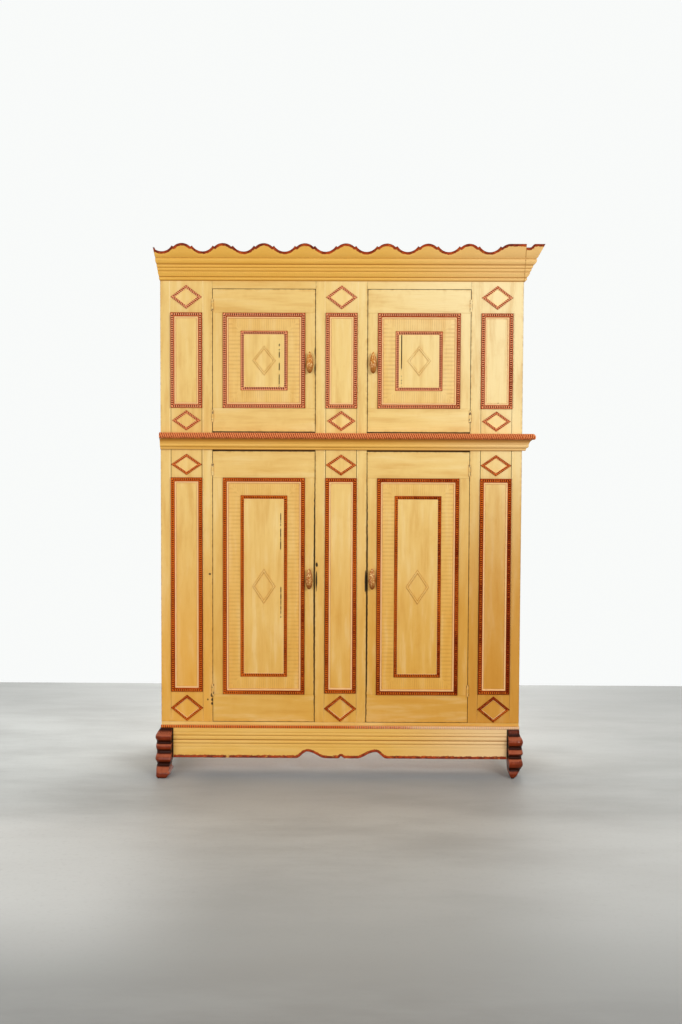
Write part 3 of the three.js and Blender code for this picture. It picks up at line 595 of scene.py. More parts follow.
# Frames of moulding, mitred at their corners. A section's rows are shares of its breadth
# and height, then how red it is, how deep its notches go and how dark a line of painted
# shade lies there
ROPE = np.array([
    (0.0, 0.0, 1, 0, 1), (0.0, 0.55, 1, 0, 1), (0.03, 0.74, 1, 0, 0.8), (0.07, 0.87, 1, 0, 0),
    (0.13, 0.94, 1, 0.1, 0), (0.18, 0.98, 1, 0.8, 0), (0.25, 1.0, 1, 1, 0), (0.34, 1.0, 1, 1, 0),
    (0.43, 1.0, 1, 1, 0), (0.5, 0.98, 1, 0.8, 0), (0.55, 0.9, 1, 0.1, 0), (0.61, 0.76, 1, 0, 0),
    (0.66, 0.6, 1, 0, 0.5), (0.7, 0.47, 0.6, 0, 0.4), (0.73, 0.44, 0, 0, 0), (0.79, 0.46, 0, 0, 0),
    (0.86, 0.46, 0, 0, 0), (0.92, 0.42, 0, 0, 0), (0.96, 0.32, 0, 0, 0.1), (1.0, 0.16, 0, 0, 0.25),
    (1.0, 0.0, 0, 0, 0.4)])
BEAD = np.array([
    (0.0, 0.0, 1, 0, 1), (0.0, 0.4, 1, 0, 0.6), (0.06, 0.66, 1, 0, 0.1), (0.15, 0.86, 1, 0.15, 0),
    (0.25, 1.0, 1, 0.5, 0), (0.36, 1.0, 1, 1, 0), (0.5, 1.0, 1, 1, 0), (0.64, 0.94, 1, 1, 0),
    (0.76, 0.8, 1, 1, 0), (0.85, 0.6, 1, 0.9, 0), (0.92, 0.4, 0.8, 0.5, 0), (0.97, 0.2, 0.2, 0, 0),
    (1.0, 0.0, 0, 0, 0)])
BAR = np.array([
    (0.0, 0.0, 1, 0, 1), (0.0, 0.5, 1, 0.3, 0.6), (0.12, 0.8, 1, 1, 0), (0.34, 1.0, 1, 1, 0),
    (0.62, 1.0, 1, 1, 0), (0.84, 0.78, 1, 1, 0), (0.95, 0.58, 0.3, 0.3, 0), (1.0, 0.45, 0, 0, 0),
    (1.0, 0.0, 0, 0, 0)])
GROUND = np.array([
    (0.0, 0.0, 0, 0, 0), (0.0, 0.7, 0, 1, 0), (0.03, 1.0, 0, 1, 0), (0.3, 1.0, 0, 1, 0),
    (0.6, 1.0, 0, 1, 0), (0.97, 1.0, 0, 1, 0), (1.0, 0.7, 0, 1, 0), (1.0, 0.0, 0, 0, 0)])
LOZENGE = np.array([
    (0.0, 0.0, 0, 0, 1), (0.0, 0.3, 0, 0, 0.9), (0.12, 0.52, 0, 0, 0.2), (0.3, 0.9, 0, 0, 0),
    (0.5, 1.0, 0, 0, 0), (0.7, 0.9, 0, 0, 0), (0.88, 0.52, 0, 0, 0.2), (1.0, 0.3, 0, 0, 0.9),
    (1.0, 0.0, 0, 0, 1)])
# How a section is cut: its breadth and height, the pitch, depth, slant and sharpness of its
# notches, and the rows of points to a notch
ROPE_CUTS = {"width": 22.0, "pitch": 8.4, "depth": 3.0, "sharpness": 0.9}
BEAD_CUTS = {"width": 14.0, "pitch": 8.6, "depth": 2.8, "twist": 0.5, "sharpness": 0.8}
BAR_CUTS = {
    "width": 11.0, "height": 7.3, "pitch": 7.4, "depth": 1.6, "steps": 4, "twist": 0.6,
    "sharpness": 1.2}
GROUND_CUTS = {"height": 1.0, "pitch": (8.6, 15.5), "depth": 0.3, "steps": 6, "sharpness": 1.3}
LOZENGE_CUTS = {"width": 8.6, "height": 6.3, "pitch": 12.0, "depth": 0.0, "steps": 1}
FADE = 3.0
# How far each side is rubbed pale, as wear and painted highlight: the lower one, the right
# one, the upper one, the left one
SIDE_WEAR_AND_LIGHT = (0.34, -0.06, -0.08, 0.12)
TOOTH_WEAR = (0.2, 0.42)
BORDER_WEAR = 0.05
SPARE_TEETH = 4


def mitred(name, body, slot, finish, replaced, corners, back, section, width, height, pitch,
           depth, steps=5, twist=0.0, sharpness=2.0, seed=0):
    """A moulding round a frame whose back lies at y = back."""
    chance = np.random.default_rng(seed)
    corners = np.asarray(corners, float)
    count = len(corners)
    insets, heights, reds, cuts, lines = section.T
    insets, heights = insets * width, heights * height
    rows, hollows, wear_and_light = [], [], []
    for side in range(count):
        start, end = corners[side], corners[(side + 1) % count]
        length = np.linalg.norm(end - start)
        along = (end - start) / length
        inward = np.array([-along[1], along[0]])
        spread = []
        for near, far in ((corners[side - 1], start), (corners[(side + 2) % count], end)):
            other = (near - far) / np.linalg.norm(near - far)
            cosine = float(other @ (along if far is start else -along))
            spread.append((1 + cosine) / math.sqrt(1 - cosine ** 2))
        notches = max(2, round(length / np.atleast_1d(pitch)[side % np.size(pitch)]))
        wear = chance.uniform(*TOOTH_WEAR, notches + SPARE_TEETH) + SIDE_WEAR_AND_LIGHT[side]
        for station in range(notches * steps + 1):
            place = station * length / (notches * steps)
            first, last = spread[0] * insets, length - spread[1] * insets
            placed = np.clip(place, first, last)
            inside = np.clip(np.minimum(placed - first, last - placed) / FADE, 0, 1)
            phase = placed * notches / length + 0.5 + twist * insets / width
            hollow = notch(phase, sharpness) * inside * cuts
            tooth = np.clip(np.floor(phase).astype(int), 0, notches + SPARE_TEETH - 1)
            wear_and_light.append(wear[tooth] * (BORDER_WEAR + (1 - BORDER_WEAR) * cuts) * inside)
            flat = start + np.outer(placed, along) + np.outer(insets, inward)
            rows.append(grid(flat[:, 0], back - heights + hollow * depth, flat[:, 1]))
            hollows.append(hollow)
    marks = {"hollow": hollows, "rubbed_and_lit": wear_and_light, "red": reds, "line": lines}
    rows = np.array(rows)
    piece(name, body, rows, finish, replaced, marks, woven(rows, True, True))


def rectangle(low, high, inset=0.0):
    x0, x1, z0, z1 = low[0] + inset, high[0] - inset, low[2] + inset, high[2] - inset
    return [(x0, z0), (x1, z0), (x1, z1), (x0, z1)]


def rhombus(x, z, width, height):
    return [(x, z - height / 2), (x + width / 2, z), (x, z + height / 2), (x - width / 2, z)]


def red_frame(name, body, node, finish, section, cuts, seed, wider=0.0):
    """A notched frame in the place of the CAD's plain one."""
    low, high = span(node)
    mitred(name, body, "red_paint", finish, [node], rectangle(low, high, -wider), high[1],
           section, height=high[1] - low[1], seed=seed, **cuts)


rope_red = red_rope("rope_red", 1.0)
bead_red = red_rope("bead_red", 1.0, YELLOW_PALE)
diamond_red = red_rope("diamond_red", 0.9, YELLOW_PALE, notched=RED_DEEP)
doors = [f"{level}_{hand}" for level in ("upper", "lower") for hand in ("left", "right")]
places = ("left", "centre", "right")
# The first seeds of the pilasters' upper frames, the doors' outer ones and their inner ones
UPPER_SEED, OUTER_SEED, INNER_SEED = 3, 10, 20
INNER_WIDER = 1.2
for seed, place in enumerate(places):
    for level, first_seed in (("upper", UPPER_SEED), ("lower", 0)):
        red_frame(f"rope_frame_{place}_{level}", "case", f"pilaster_{place}_{level}_frame",
                  rope_red, ROPE, ROPE_CUTS, seed + first_seed)
for seed, door in enumerate(doors):
    red_frame(f"rope_frame_door_{door}", f"door_{door}", f"door_{door}_outer_moulding",
              rope_red, ROPE, ROPE_CUTS, seed + OUTER_SEED)
    red_frame(f"bead_frame_door_{door}", f"door_{door}", f"door_{door}_inner_moulding",
              bead_red, BEAD, BEAD_CUTS, seed + INNER_SEED, INNER_WIDER)

# Red diamonds over the plain ones of the pilasters, a little wider than those. Each has its
# breadth, its height, a level, whether it lies under (-1) or over (1) that, and how far
DIAMOND_WIDER, DIAMOND_BACK = 2, -0.05
cornice_low = span("cornice_front")[0]
waist_top = span("waist_cove")[0][2]
doorway_base = span("bottom_rail")[1][2]
for place in places:
    frame_low, frame_high = span(f"pilaster_{place}_upper_frame")
    x = (frame_low[0] + frame_high[0]) / 2
    for spot, width, height, level, side, clear in (
            ("head", 120, 90, cornice_low[2], -1, 17),
            ("above_waist", 110, 77, frame_low[2], -1, 10),
            ("below_waist", 119, 81, waist_top, -1, 18),
            ("foot", 126, 102, doorway_base, 1, 4)):
        corners = rhombus(x, level + side * (clear + height / 2),
                          width + DIAMOND_WIDER, height + DIAMOND_WIDER)
        mitred(f"diamond_{place}_{spot}", "case", "red_paint", diamond_red, (), corners,
               DIAMOND_BACK, BAR, seed=round(CASE_HALF + x + width), **BAR_CUTS)

# Door panels: a board with its cracks, a rippled ground and a diamond of plain bars. Each
# crack is a place across from the panel's middle, its ends as shares from the top, and how
# far it stands open.
CRACKS = {
    "upper_left": [
        (59, 0.335, 0.35, 1.4), (59, 0.385, 0.4, 1.4), (59, 0.4, 0.47, 0.9),
        (59, 0.52, 0.6, 1.1), (59, 0.63, 0.78, 0.35), (57, 0.81, 0.93, 0.7)],
    "upper_right": [(-68, 0.02, 0.14, 0.35), (-68, 0.14, 0.54, 1.1), (-68, 0.54, 0.98, 0.3)],
    "lower_left": [
        (67, 0.03, 0.06, 0.6), (66, 0.17, 0.33, 0.6), (67, 0.5, 0.64, 0.6),
        (65, 0.95, 0.98, 0.5)],
    "lower_right": [(-81, 0.04, 0.13, 0.5), (-80, 0.93, 0.98, 0.5)],
}
PANEL_FACE, PANEL_THICK, PANEL_BORDER = 6.3, 12.0, 60
PANEL_TOUCH = PANEL_FACE + 0.05
CRACK_HALF, CRACK_DEPTH, CRACK_STEP = 1.9, 3.0, 4.0
CRACK_SHARES = (-1.4, -0.7, 0, 0.7, 1.4)
CRACK_LESS, CRACK_MORE, CRACK_CORE = 0.6, 0.5, 1.2
RIPPLE_START = 20.0
LOZENGE_SIZE = {"upper": (91.5, 116), "lower": (91.5, 138)}
rippled_paint = moulded_yellow("rippled_paint", "up", orange=0.25, depth=0.26)
lozenge_paint = moulded_yellow("lozenge_paint", "up")


def cracked_board(door, low, high, seed):
    """A board whose front is drawn in along a few broken lines."""
    chance = np.random.default_rng(seed)
    middle = (low[0] + high[0]) / 2
    tall = high[2] - low[2]
    across = [low[0], low[0] + PANEL_BORDER, high[0] - PANEL_BORDER, high[0]]
    for place in {crack[0] for crack in CRACKS[door]}:
        across += [middle + place + side * CRACK_HALF for side in CRACK_SHARES]
    up = np.linspace(low[2], high[2], int(tall / CRACK_STEP))
    x, z = np.meshgrid(sorted(across), up)
    y = np.full_like(x, PANEL_FACE)
    hollow = np.zeros_like(x)
    for place, first, last, opened in CRACKS[door]:
        core = np.clip(CRACK_CORE - np.abs(x - middle - place) / CRACK_HALF, 0, 1)
        share = (high[2] - z) / tall
        broken = chance.uniform(opened - CRACK_LESS, opened + CRACK_MORE, len(up))
        depth = np.clip(broken, 0, 1)[:, None] * core * ((share > first) & (share < last))
        y += depth * CRACK_DEPTH
        hollow = np.maximum(hollow, depth)
    front = grid(x, y, z)
    rows, columns = x.shape
    rim = [(0, c) for c in range(columns)] + [(r, columns - 1) for r in range(1, rows)]
    rim += [(rows - 1, c) for c in range(columns - 2, -1, -1)]
    rim += [(r, 0) for r in range(rows - 2, 0, -1)]
    behind = np.array([front[spot] for spot in rim])
    behind[:, 1] = PANEL_FACE + PANEL_THICK
    first = rows * columns
    faces = woven(front, False)
    for spot, (r, c) in enumerate(rim):
        after = (spot + 1) % len(rim)
        beside = rim[after][0] * columns + rim[after][1]
        faces.append((r * columns + c, first + spot, first + after, beside))
    faces.append(tuple(first + spot for spot in range(len(rim))))
    piece(f"panel_{door}", f"door_{door}",
          np.vstack([front.reshape(-1, 3), behind]), cracked_panel(f"panel_paint_{door}"),
          [f"door_{door}_panel"], {"hollow": [*hollow.ravel(), *[0] * len(rim)]}, faces)


for seed, door in enumerate(doors):
    low, high = span(f"door_{door}_panel")
    opening_low, opening_high = span(f"door_{door}_outer_moulding")
    ripple_end = span(f"door_{door}_inner_moulding")[0][0] - opening_low[0] + INNER_WIDER
    cracked_board(door, low, high, seed)
    mitred(f"rippled_ground_{door}", f"door_{door}", "yellow_paint", rippled_paint, (),
           rectangle(opening_low, opening_high, RIPPLE_START), PANEL_TOUCH, GROUND,
           width=ripple_end - RIPPLE_START, **GROUND_CUTS)
    corners = rhombus((low[0] + high[0]) / 2, (opening_low[2] + opening_high[2]) / 2,
                      *LOZENGE_SIZE[door.split("_")[0]])
    mitred(f"panel_diamond_{door}", f"door_{door}", "yellow_paint", lozenge_paint, (),
           corners, PANEL_TOUCH, LOZENGE, **LOZENGE_CUTS)


# Runs of moulding. A section is a line of (out, up) points from its foot to its top.
def hollowness(section, reach=7.0, deep=1.6):
    """How far each point lies behind the mean of its neighbours, from 0 to 1, raised where
    the section faces down: where shade is painted.
    """
    steps = np.linalg.norm(np.diff(section, axis=0), axis=1)
    along = np.concatenate([[0], np.cumsum(steps)])
    fine = np.linspace(0, along[-1], 600)
    outs = np.interp(fine, along, section[:, 0])
    near = np.exp(-((along[:, None] - fine[None]) / reach) ** 2)
    mean = (near * outs).sum(1) / near.sum(1)
    slopes = np.gradient(section, axis=0)
    facing_down = slopes[:, 0] / np.maximum(np.linalg.norm(slopes, axis=1), 1e-6)
    under = np.clip(facing_down - 0.55, 0, 0.45) * 1.5
    return np.maximum(np.clip((mean - section[:, 0]) / deep, 0, 1), under)


def round_corner(outs, step):
    """Rows of places and distances from the mitre, along the front and round the side."""
    reach = outs.max()
    rows = []
    for place in np.linspace(FIT, reach, max(3, int(reach / step))):
        placed = np.minimum(place, outs)
        rows.append((CASE_HALF + placed, -outs, outs - placed))
    for place in np.linspace(-reach, CASE_DEPTH, int((CASE_DEPTH + reach) / step)):
        placed = np.maximum(place, -outs)
        rows.append((CASE_HALF + outs, placed, placed + outs))
    return [np.array(part) for part in zip(*rows)]


def stepped(pitch, steps=6):
    """Places along the case's front, so many to a notch, that end on its right edge."""
    spots = np.arange(-CASE_HALF, CASE_HALF + 0.1, pitch / steps)
    spots[-1] = CASE_HALF
    return spots[:, None]


# Waist: a cove and over it a strip cut like a rope, along the front and round the right side
COVE_SHARES = [
    (0.34, 0), (0.38, 0.12), (0.4, 0.22), (0.5, 0.26), (0.62, 0.34), (0.66, 0.44), (0.62, 0.55),
    (0.66, 0.6), (0.7, 0.72), (0.78, 0.84), (0.9, 0.94), (1, 1)]
COVE_OUT, STRIP_OUT, STRIP_TALL = 36.0, 47.0, 23.0
COVE_ROWS, COVE_STEP = 40, 3.0
# Painted shade: how far it reaches down from the strip and up from the cove's foot, and how
# it fades
UNDER_REACH, UNDER_FADE, BASE_REACH, BASE_FADE, BASE_DARK = 25, 21, 5, 4, 0.95
waist_low, waist_high = span("waist_return")
WAIST_BASE, STRIP_BASE = waist_low[2], waist_high[2] - STRIP_TALL
COVE_TALL = STRIP_BASE - FIT - WAIST_BASE
cove = np.array([(out * COVE_OUT, WAIST_BASE + up * COVE_TALL) for out, up in COVE_SHARES])
cove = np.vstack([[(FIT, cove[0, 1])], rounded(cove, 2), [(FIT, cove[-1, 1])]])
shadow_under_strip = np.clip((cove[:, 1] - STRIP_BASE + UNDER_REACH) / UNDER_FADE, 0, 1)
shade_at_foot = np.clip((WAIST_BASE + BASE_REACH - cove[:, 1]) / BASE_FADE, 0, BASE_DARK)
cove_marks = {"hollow": reduce(np.maximum, (hollowness(cove), shadow_under_strip, shade_at_foot))}
# Paler towards the right as a painted sheen
cove_paint = moulded_yellow("cove_paint", "across", orange=0.7, pale=0.35)
x = np.linspace(-CASE_HALF, CASE_HALF, COVE_ROWS)[:, None]
piece("waist_cove_run", "case", grid(x, -cove[:, 0], cove[:, 1]), cove_paint,
      ["waist_cove"], cove_marks)
x, y, _ = round_corner(cove[:, 0], COVE_STEP)
piece("waist_cove_corner", "case", grid(x, y, cove[:, 1]), cove_paint,
      ["waist_return"], cove_marks)

# The strip's rows are shares of its reach and height, and how deep its notches go
STRIP = np.array([
    (0.0, 0.0, 0.0), (0.55, 0.0, 0.0), (0.9, 0.0, 0.2), (0.955, 0.06, 0.7), (0.985, 0.16, 1.0),
    (1.0, 0.3, 1.0), (1.0, 0.45, 1.0), (0.99, 0.58, 1.0), (0.97, 0.7, 1.0), (0.94, 0.81, 1.0),
    (0.9, 0.9, 0.8), (0.86, 0.96, 0.5), (0.81, 1.0, 0.2), (0.5, 1.0, 0.0), (0.0, 1.0, 0.0)])
STRIP_CUT, STRIP_PITCH, STRIP_TWIST, STRIP_SHARP, STRIP_FADE = 2.6, 8.5, 1.1, 1.5, 5
STRIP_WEAR, RUN_SEED, CORNER_SEED = (0.2, 0.75), 31, 32
strip_share, strip_depth = STRIP[:, 1], STRIP[:, 2]
strip_out = FIT + STRIP[:, 0] * (STRIP_OUT - FIT)
strip_up = STRIP_BASE + strip_share * STRIP_TALL
# A dark line of painted shade along the strip's underside
strip_line = np.interp(strip_share, (0, 0.06, 0.22, 0.34, 0.95, 1), (0.9, 0.75, 0.5, 0, 0, 0.2))


def rope_run(away, fade, seed):
    """The notches and marks of the waist's rope over rows of distances along the run."""
    chance = np.random.default_rng(seed)
    phase = away / STRIP_PITCH + STRIP_TWIST * strip_share
    hollow = notch(phase, STRIP_SHARP) * strip_depth * fade
    teeth = np.floor(phase).astype(int)
    teeth -= teeth.min()
    # Rows higher up are rubbed paler: random wear tooth by tooth and a painted highlight on the
    # top
    rubbed_and_lit = chance.uniform(*STRIP_WEAR, teeth.max() + 1)[teeth] + 0.5 * (strip_share - 0.5)
    red = np.where(strip_share > 0.97, 0.3, 1.0)
    return hollow, {"hollow": hollow, "rubbed_and_lit": rubbed_and_lit, "red": red, "line": strip_line}


waist_red = red_rope("waist_red", 0.9, deep=WAIST_DEEP, bright=WAIST_RED, notched=WAIST_CUT)
x = stepped(STRIP_PITCH)
hollow, marks = rope_run(x, 1.0, RUN_SEED)
piece("waist_rope_run", "case", grid(x, hollow * STRIP_CUT - strip_out, strip_up),
      waist_red, ["waist_strip"], marks)
x, y, away = round_corner(strip_out, STRIP_PITCH / 6)
hollow, marks = rope_run(away, np.clip(away / STRIP_FADE, 0, 1), CORNER_SEED)
front = y <= -strip_out + 1e-6
x = np.where(front, x, x - hollow * STRIP_CUT)
y = np.where(front, y + hollow * STRIP_CUT, y)
piece("waist_rope_corner", "case", grid(x, y, strip_up), waist_red,
      ["waist_return"], marks)

# Cornice: a sprung board with a scalloped and red-edged crest
CORNICE_OUT, CORNICE_TALL, NAILING, CREST_THICK = 71.0, 135.0, 45.0, 16.0
CORNICE_SHARES = [
    (0.035, 0), (0.11, 0.03), (0.145, 0.055), (0.145, 0.09), (0.115, 0.105),
    (0.17, 0.125), (0.24, 0.175), (0.3, 0.235), (0.27, 0.26),
    (0.34, 0.285), (0.37, 0.34), (0.345, 0.355), (0.41, 0.37), (0.44, 0.425), (0.42, 0.445),
    (0.49, 0.46), (0.56, 0.495), (0.605, 0.54), (0.61, 0.585), (0.58, 0.62), (0.66, 0.655)]
CREST_PITCH, CREST_START, HUMP_HALF, HUMP_RISE = 157.4, 92.8, 32.5, 12.5
CUSP_HALF, CUSP_DROP, HOLLOW_DEEP, LAST_HUMP = 39.0, 9.0, 20.5, 8
CORNER_FLAT, CORNER_WIDE, CORNER_DEEP = 14.0, 18.0, 12.5
END_SPLAY, JOINT_WIDE, JOINT_SEED = 21.0, 1.0, 41
CREST_RED, SKIRT_RED = 9.5, 11.0
RIB_PITCH, RIB_LOW, RIB_HIGH, RIB_EDGE, RIB_INNER = 8.8, 0.12, 0.25, 0.02, 0.15
RIB_SHARP, RIB_CUT, RIB_SHADE = 1.2, 0.5, 0.14
FRONT_STEP, SIDE_STEP, CORNER_ROWS = 2.2, 2.6, 39
EDGE_ROWS = np.array([13.0, 11.5, 10.0, 8.5, 7.0, 5.5, 4.0, 2.5, 1.2, 0.4, 0.0])
BACK_ROWS = np.array([0.0, 0.5, 2.0, 4.0])
BACK_SWELL = 30
# How far the crest's line is followed past its ends, and in how many points
LINE_SPARE, FRONT_LINE, CORNER_LINE, SIDE_LINE = 20, 1400, 120, 700
CORNICE_BASE = cornice_low[2]
CORNICE_TOP = CORNICE_BASE + CORNICE_TALL
profile = rounded(
    [(out * CORNICE_OUT, CORNICE_BASE + up * CORNICE_TALL) for out, up in CORNICE_SHARES], 2)
slope_out, slope_base = profile[-1]


def bow(away, half, rise):
    """How far an arc of that half chord and rise lies below its top, away from its middle."""
    radius = (half ** 2 + rise ** 2) / (2 * rise)
    return radius - np.sqrt(np.maximum(radius ** 2 - np.minimum(np.abs(away), half) ** 2, 0))


def scallop(distance):
    """How far the crest lies below the top at a distance from a hump's middle."""
    half = CREST_PITCH / 2
    away = np.abs((distance + half) % CREST_PITCH - half)
    hump = bow(away, HUMP_HALF, HUMP_RISE)
    slope = (CUSP_DROP - HUMP_RISE) / (CUSP_HALF - HUMP_HALF)
    shoulder = HUMP_RISE + slope * (away - HUMP_HALF)
    hollow = CUSP_DROP + HOLLOW_DEEP - bow(half - away, half - CUSP_HALF, HOLLOW_DEEP)
    return np.where(away < HUMP_HALF, hump, np.where(away < CUSP_HALF, shoulder, hollow))


def ease(share):
    return (1 - np.cos(np.pi * np.clip(share, 0, 1))) / 2


def front_crest(x):
    from_hump = x + CASE_HALF - CREST_START
    return CORNICE_TOP - np.where(from_hump > LAST_HUMP * CREST_PITCH, 0, scallop(from_hump))


def corner_crest(x):
    return CORNICE_TOP - CORNER_DEEP * ease(1 - (x - CASE_HALF - CORNER_FLAT) / CORNER_WIDE)


def side_crest(y):
    start = CREST_START - CREST_PITCH + CUSP_HALF
    return CORNICE_TOP - np.where(y < start, 0, scallop(y - CREST_START))


def cornice_section(crest):
    """Out and up of the cornice where its crest has that height."""
    front_up = crest - EDGE_ROWS
    lean = (CORNICE_OUT - slope_out) / (CORNICE_TOP - slope_base)
    front_out = slope_out + (front_up - slope_base) * lean
    nailed = CORNICE_BASE + NAILING
    back_lean = (CORNICE_OUT - CREST_THICK) / (CORNICE_TOP - nailed)
    back_up = np.concatenate([crest - BACK_ROWS, [nailed + BACK_SWELL, nailed]])
    back_out = np.maximum((back_up - nailed) * back_lean, FIT)
    out = np.concatenate([[FIT], profile[:, 0], front_out, back_out, [FIT]])
    up = np.concatenate([[CORNICE_BASE], profile[:, 1], front_up, back_up, [CORNICE_BASE]])
    return out, up


def edge_red(away, up, line, edge, breadth=CREST_RED):
    """Red within that breadth of the edge that edge gives for the places of the line."""
    height = edge(line)
    gaps = [np.hypot(places[:, None] - line, levels[:, None] - height).min(1)
            for places, levels in zip(np.atleast_2d(away), np.atleast_2d(up))]
    return np.clip(1 - np.reshape(gaps, up.shape) / (2 * breadth), 0, 1)


def crest_places(start, humps, shares):
    """Where the crest's line bends, so that no row of points misses it."""
    return [start + hump * CREST_PITCH + side * place
            for hump in humps for side in (-1, 1) for place in shares]


# Painted shade in the profile's hollows and under its overhangs
hollow_row = np.concatenate(
    [[0], hollowness(profile), np.zeros(len(EDGE_ROWS) + len(BACK_ROWS) + 3)])
joint = np.random.default_rng(JOINT_SEED).uniform(0.1, 1.0, len(hollow_row))
# Paler towards the right as a painted sheen
cornice_paint = moulded_yellow("cornice_paint", "across", -0.06, orange=0.85, pale=0.3)
JOINT_PLACE = CASE_HALF - JOINT_WIDE
spots = np.arange(-CASE_HALF - END_SPLAY, JOINT_PLACE, FRONT_STEP)
bends = crest_places(CREST_START - CASE_HALF, range(LAST_HUMP + 1), (CUSP_HALF, HUMP_HALF, 0))
bends = [bend for bend in bends if bend < JOINT_PLACE]
spots = np.array(sorted({*spots, *bends, JOINT_PLACE, CASE_HALF}))
out, up = np.array([cornice_section(front_crest(x)) for x in spots]).transpose(1, 0, 2)
x = np.maximum(spots[:, None], -CASE_HALF - END_SPLAY * out / CORNICE_OUT)
line = np.linspace(spots[0] - LINE_SPARE, CASE_HALF + LINE_SPARE, FRONT_LINE)
share = (up - CORNICE_BASE) / CORNICE_TALL
rib_row = np.clip(np.minimum(share - RIB_LOW, RIB_HIGH - share) / RIB_EDGE, 0, 1)
rib_row = rib_row * (out > RIB_INNER * CORNICE_OUT)
ribs = notch(spots[:, None] / RIB_PITCH, RIB_SHARP) * rib_row
hollow = np.maximum(hollow_row, ribs * RIB_SHADE)
hollow[spots >= JOINT_PLACE] = np.maximum(hollow_row, joint)
piece("cornice_front_run", "case", grid(x, ribs * RIB_CUT - out, up),
      cornice_paint, ["cornice_front"],
      {"hollow": hollow, "red": edge_red(x, up, line, front_crest)})

bends = crest_places(CREST_START, range(-1, 4), (CUSP_HALF, HUMP_HALF))
bends = [bend for bend in bends if -30 < bend < CASE_DEPTH]
side_spots = sorted({*np.arange(-CORNICE_OUT, CASE_DEPTH, SIDE_STEP), *bends, CASE_DEPTH})
rows, reds = [], []
line_x = np.linspace(CASE_HALF, CASE_HALF + CORNICE_OUT, CORNER_LINE)
line_y = np.linspace(-CORNICE_OUT, CASE_DEPTH + LINE_SPARE, SIDE_LINE)
for place in [FIT, 1.4, *np.linspace(2.4, CORNICE_OUT, CORNER_ROWS)]:
    out, up = cornice_section(corner_crest(CASE_HALF + place))
    x = CASE_HALF + np.minimum(place, out)
    rows.append(grid(x, -out, up))
    reds.append(edge_red(x, up, line_x, corner_crest))
for place in side_spots:
    out, up = cornice_section(side_crest(place))
    y = np.maximum(place, -out)
    rows.append(grid(CASE_HALF + out, y, up))
    reds.append(edge_red(y, up, line_y, side_crest))
hollow = np.tile(hollow_row, (len(rows), 1))
hollow[:2] = np.maximum(hollow_row, joint)
piece("cornice_corner_run", "case", np.array(rows), cornice_paint,
      ["cornice_return"], {"hollow": hollow, "red": reds})

# Base: a notched bead over the rail, and the reeded skirt
rail_low = span("bottom_rail")[0]
BEAD_OUT, BEAD_RADIUS, BEAD_LEVEL, BASE_PITCH, BASE_CUT, BASE_SHARP = 16.0, 6.2, 5, 8.6, 1.1, 1.5
BASE_WEAR, BASE_SEED, BASE_EDGE = (0.2, 0.6), 51, 1.1
turns = np.linspace(-0.5 * math.pi, 0.5 * math.pi, 11)
bead_out = BEAD_OUT + BEAD_RADIUS * np.cos(turns)
bead_up = np.maximum(rail_low[2] + BEAD_LEVEL + BEAD_RADIUS * np.sin(turns), rail_low[2] - 0.1)
x = stepped(BASE_PITCH)
hollow = notch(x / BASE_PITCH, BASE_SHARP) * np.clip(np.cos(turns) * 1.4, 0, 1)
teeth = np.floor((x + CASE_HALF) / BASE_PITCH + 0.5).astype(int)
rubbed_and_lit = np.random.default_rng(BASE_SEED).uniform(*BASE_WEAR, teeth.max() + 1)[teeth]
# The bead's underside takes a dark line of painted shade
base_red = red_rope("base_bead_red", 0.7, LEDGE, 0.7, WAIST_DEEP, WAIST_RED, RED_DEEP)
piece("base_bead_run", "case", grid(x, hollow * BASE_CUT - bead_out, bead_up),
      base_red, (), {
          "hollow": hollow, "rubbed_and_lit": rubbed_and_lit, "red": np.where(turns < BASE_EDGE, 1.0, 0.2),
          "line": np.where(turns < -BASE_EDGE, 1.0, 0.0)})

skirt_low, skirt_high = span("skirt")
SKIRT_FRONT, SKIRT_BACK, SKIRT_EASED, SKIRT_GAP = 15.0, -7.0, 0.8, 5.0
# How far down each reed's point lies from the skirt's top, and how far out
REEDS = [
    (0, 17.0), (12, 17.3), (15.5, 16.9), (17.5, 16.2), (19, 16.8), (22, 17.4), (26, 17.4),
    (28.5, 16.6), (30, 14.6), (31.5, 16.6), (34.5, 17.8), (40, 17.9), (44.5, 17.0), (46, 14.6),
    (47.5, 13.6), (49, 15.0), (51, 16.8), (55, 17.6), (59, 17.0), (61, 15.6), (62, 14.4),
    (63.5, 15.6), (67, 16.2), (73, 15.6), (76, 14.8), (79, 15.3), (84, 15.4), (92, 15.0)]
PLAIN_TOP, REED_REACH, REED_DEEP = 11, 4.5, 0.8
ARCH_IN, ARCH_MID, ARCH_OUT, ARCH_RISE = 60.0, 134.0, 179.0, 26.0
CUSP_WIDE, CUSP_RISE, ARCH_SHIFT = 13.0, 8.0, 5.5
SKIRT_ROWS = np.array([10.0, 8.5, 7.0, 5.5, 4.0, 2.5, 1.2, 0.4, 0.0])
ROWS_TOP, BACK_RISE, SKIRT_STATIONS = 12, 4, 441
FOOT_TOP = skirt_high[2]


def skirt_edge(x):
    """The height of the skirt's lower edge."""
    away = np.abs(x - ARCH_SHIFT)
    middle = CUSP_RISE * ease((CUSP_WIDE - away) / CUSP_WIDE)
    inner = ARCH_RISE * ease((away - ARCH_IN) / (ARCH_MID - ARCH_IN))
    outer = ARCH_RISE * ease((ARCH_OUT - away) / (ARCH_OUT - ARCH_MID))
    return skirt_low[2] + middle + np.where(away < ARCH_MID, inner, outer)


reeds = rounded([(out, FOOT_TOP - drop) for drop, out in REEDS])
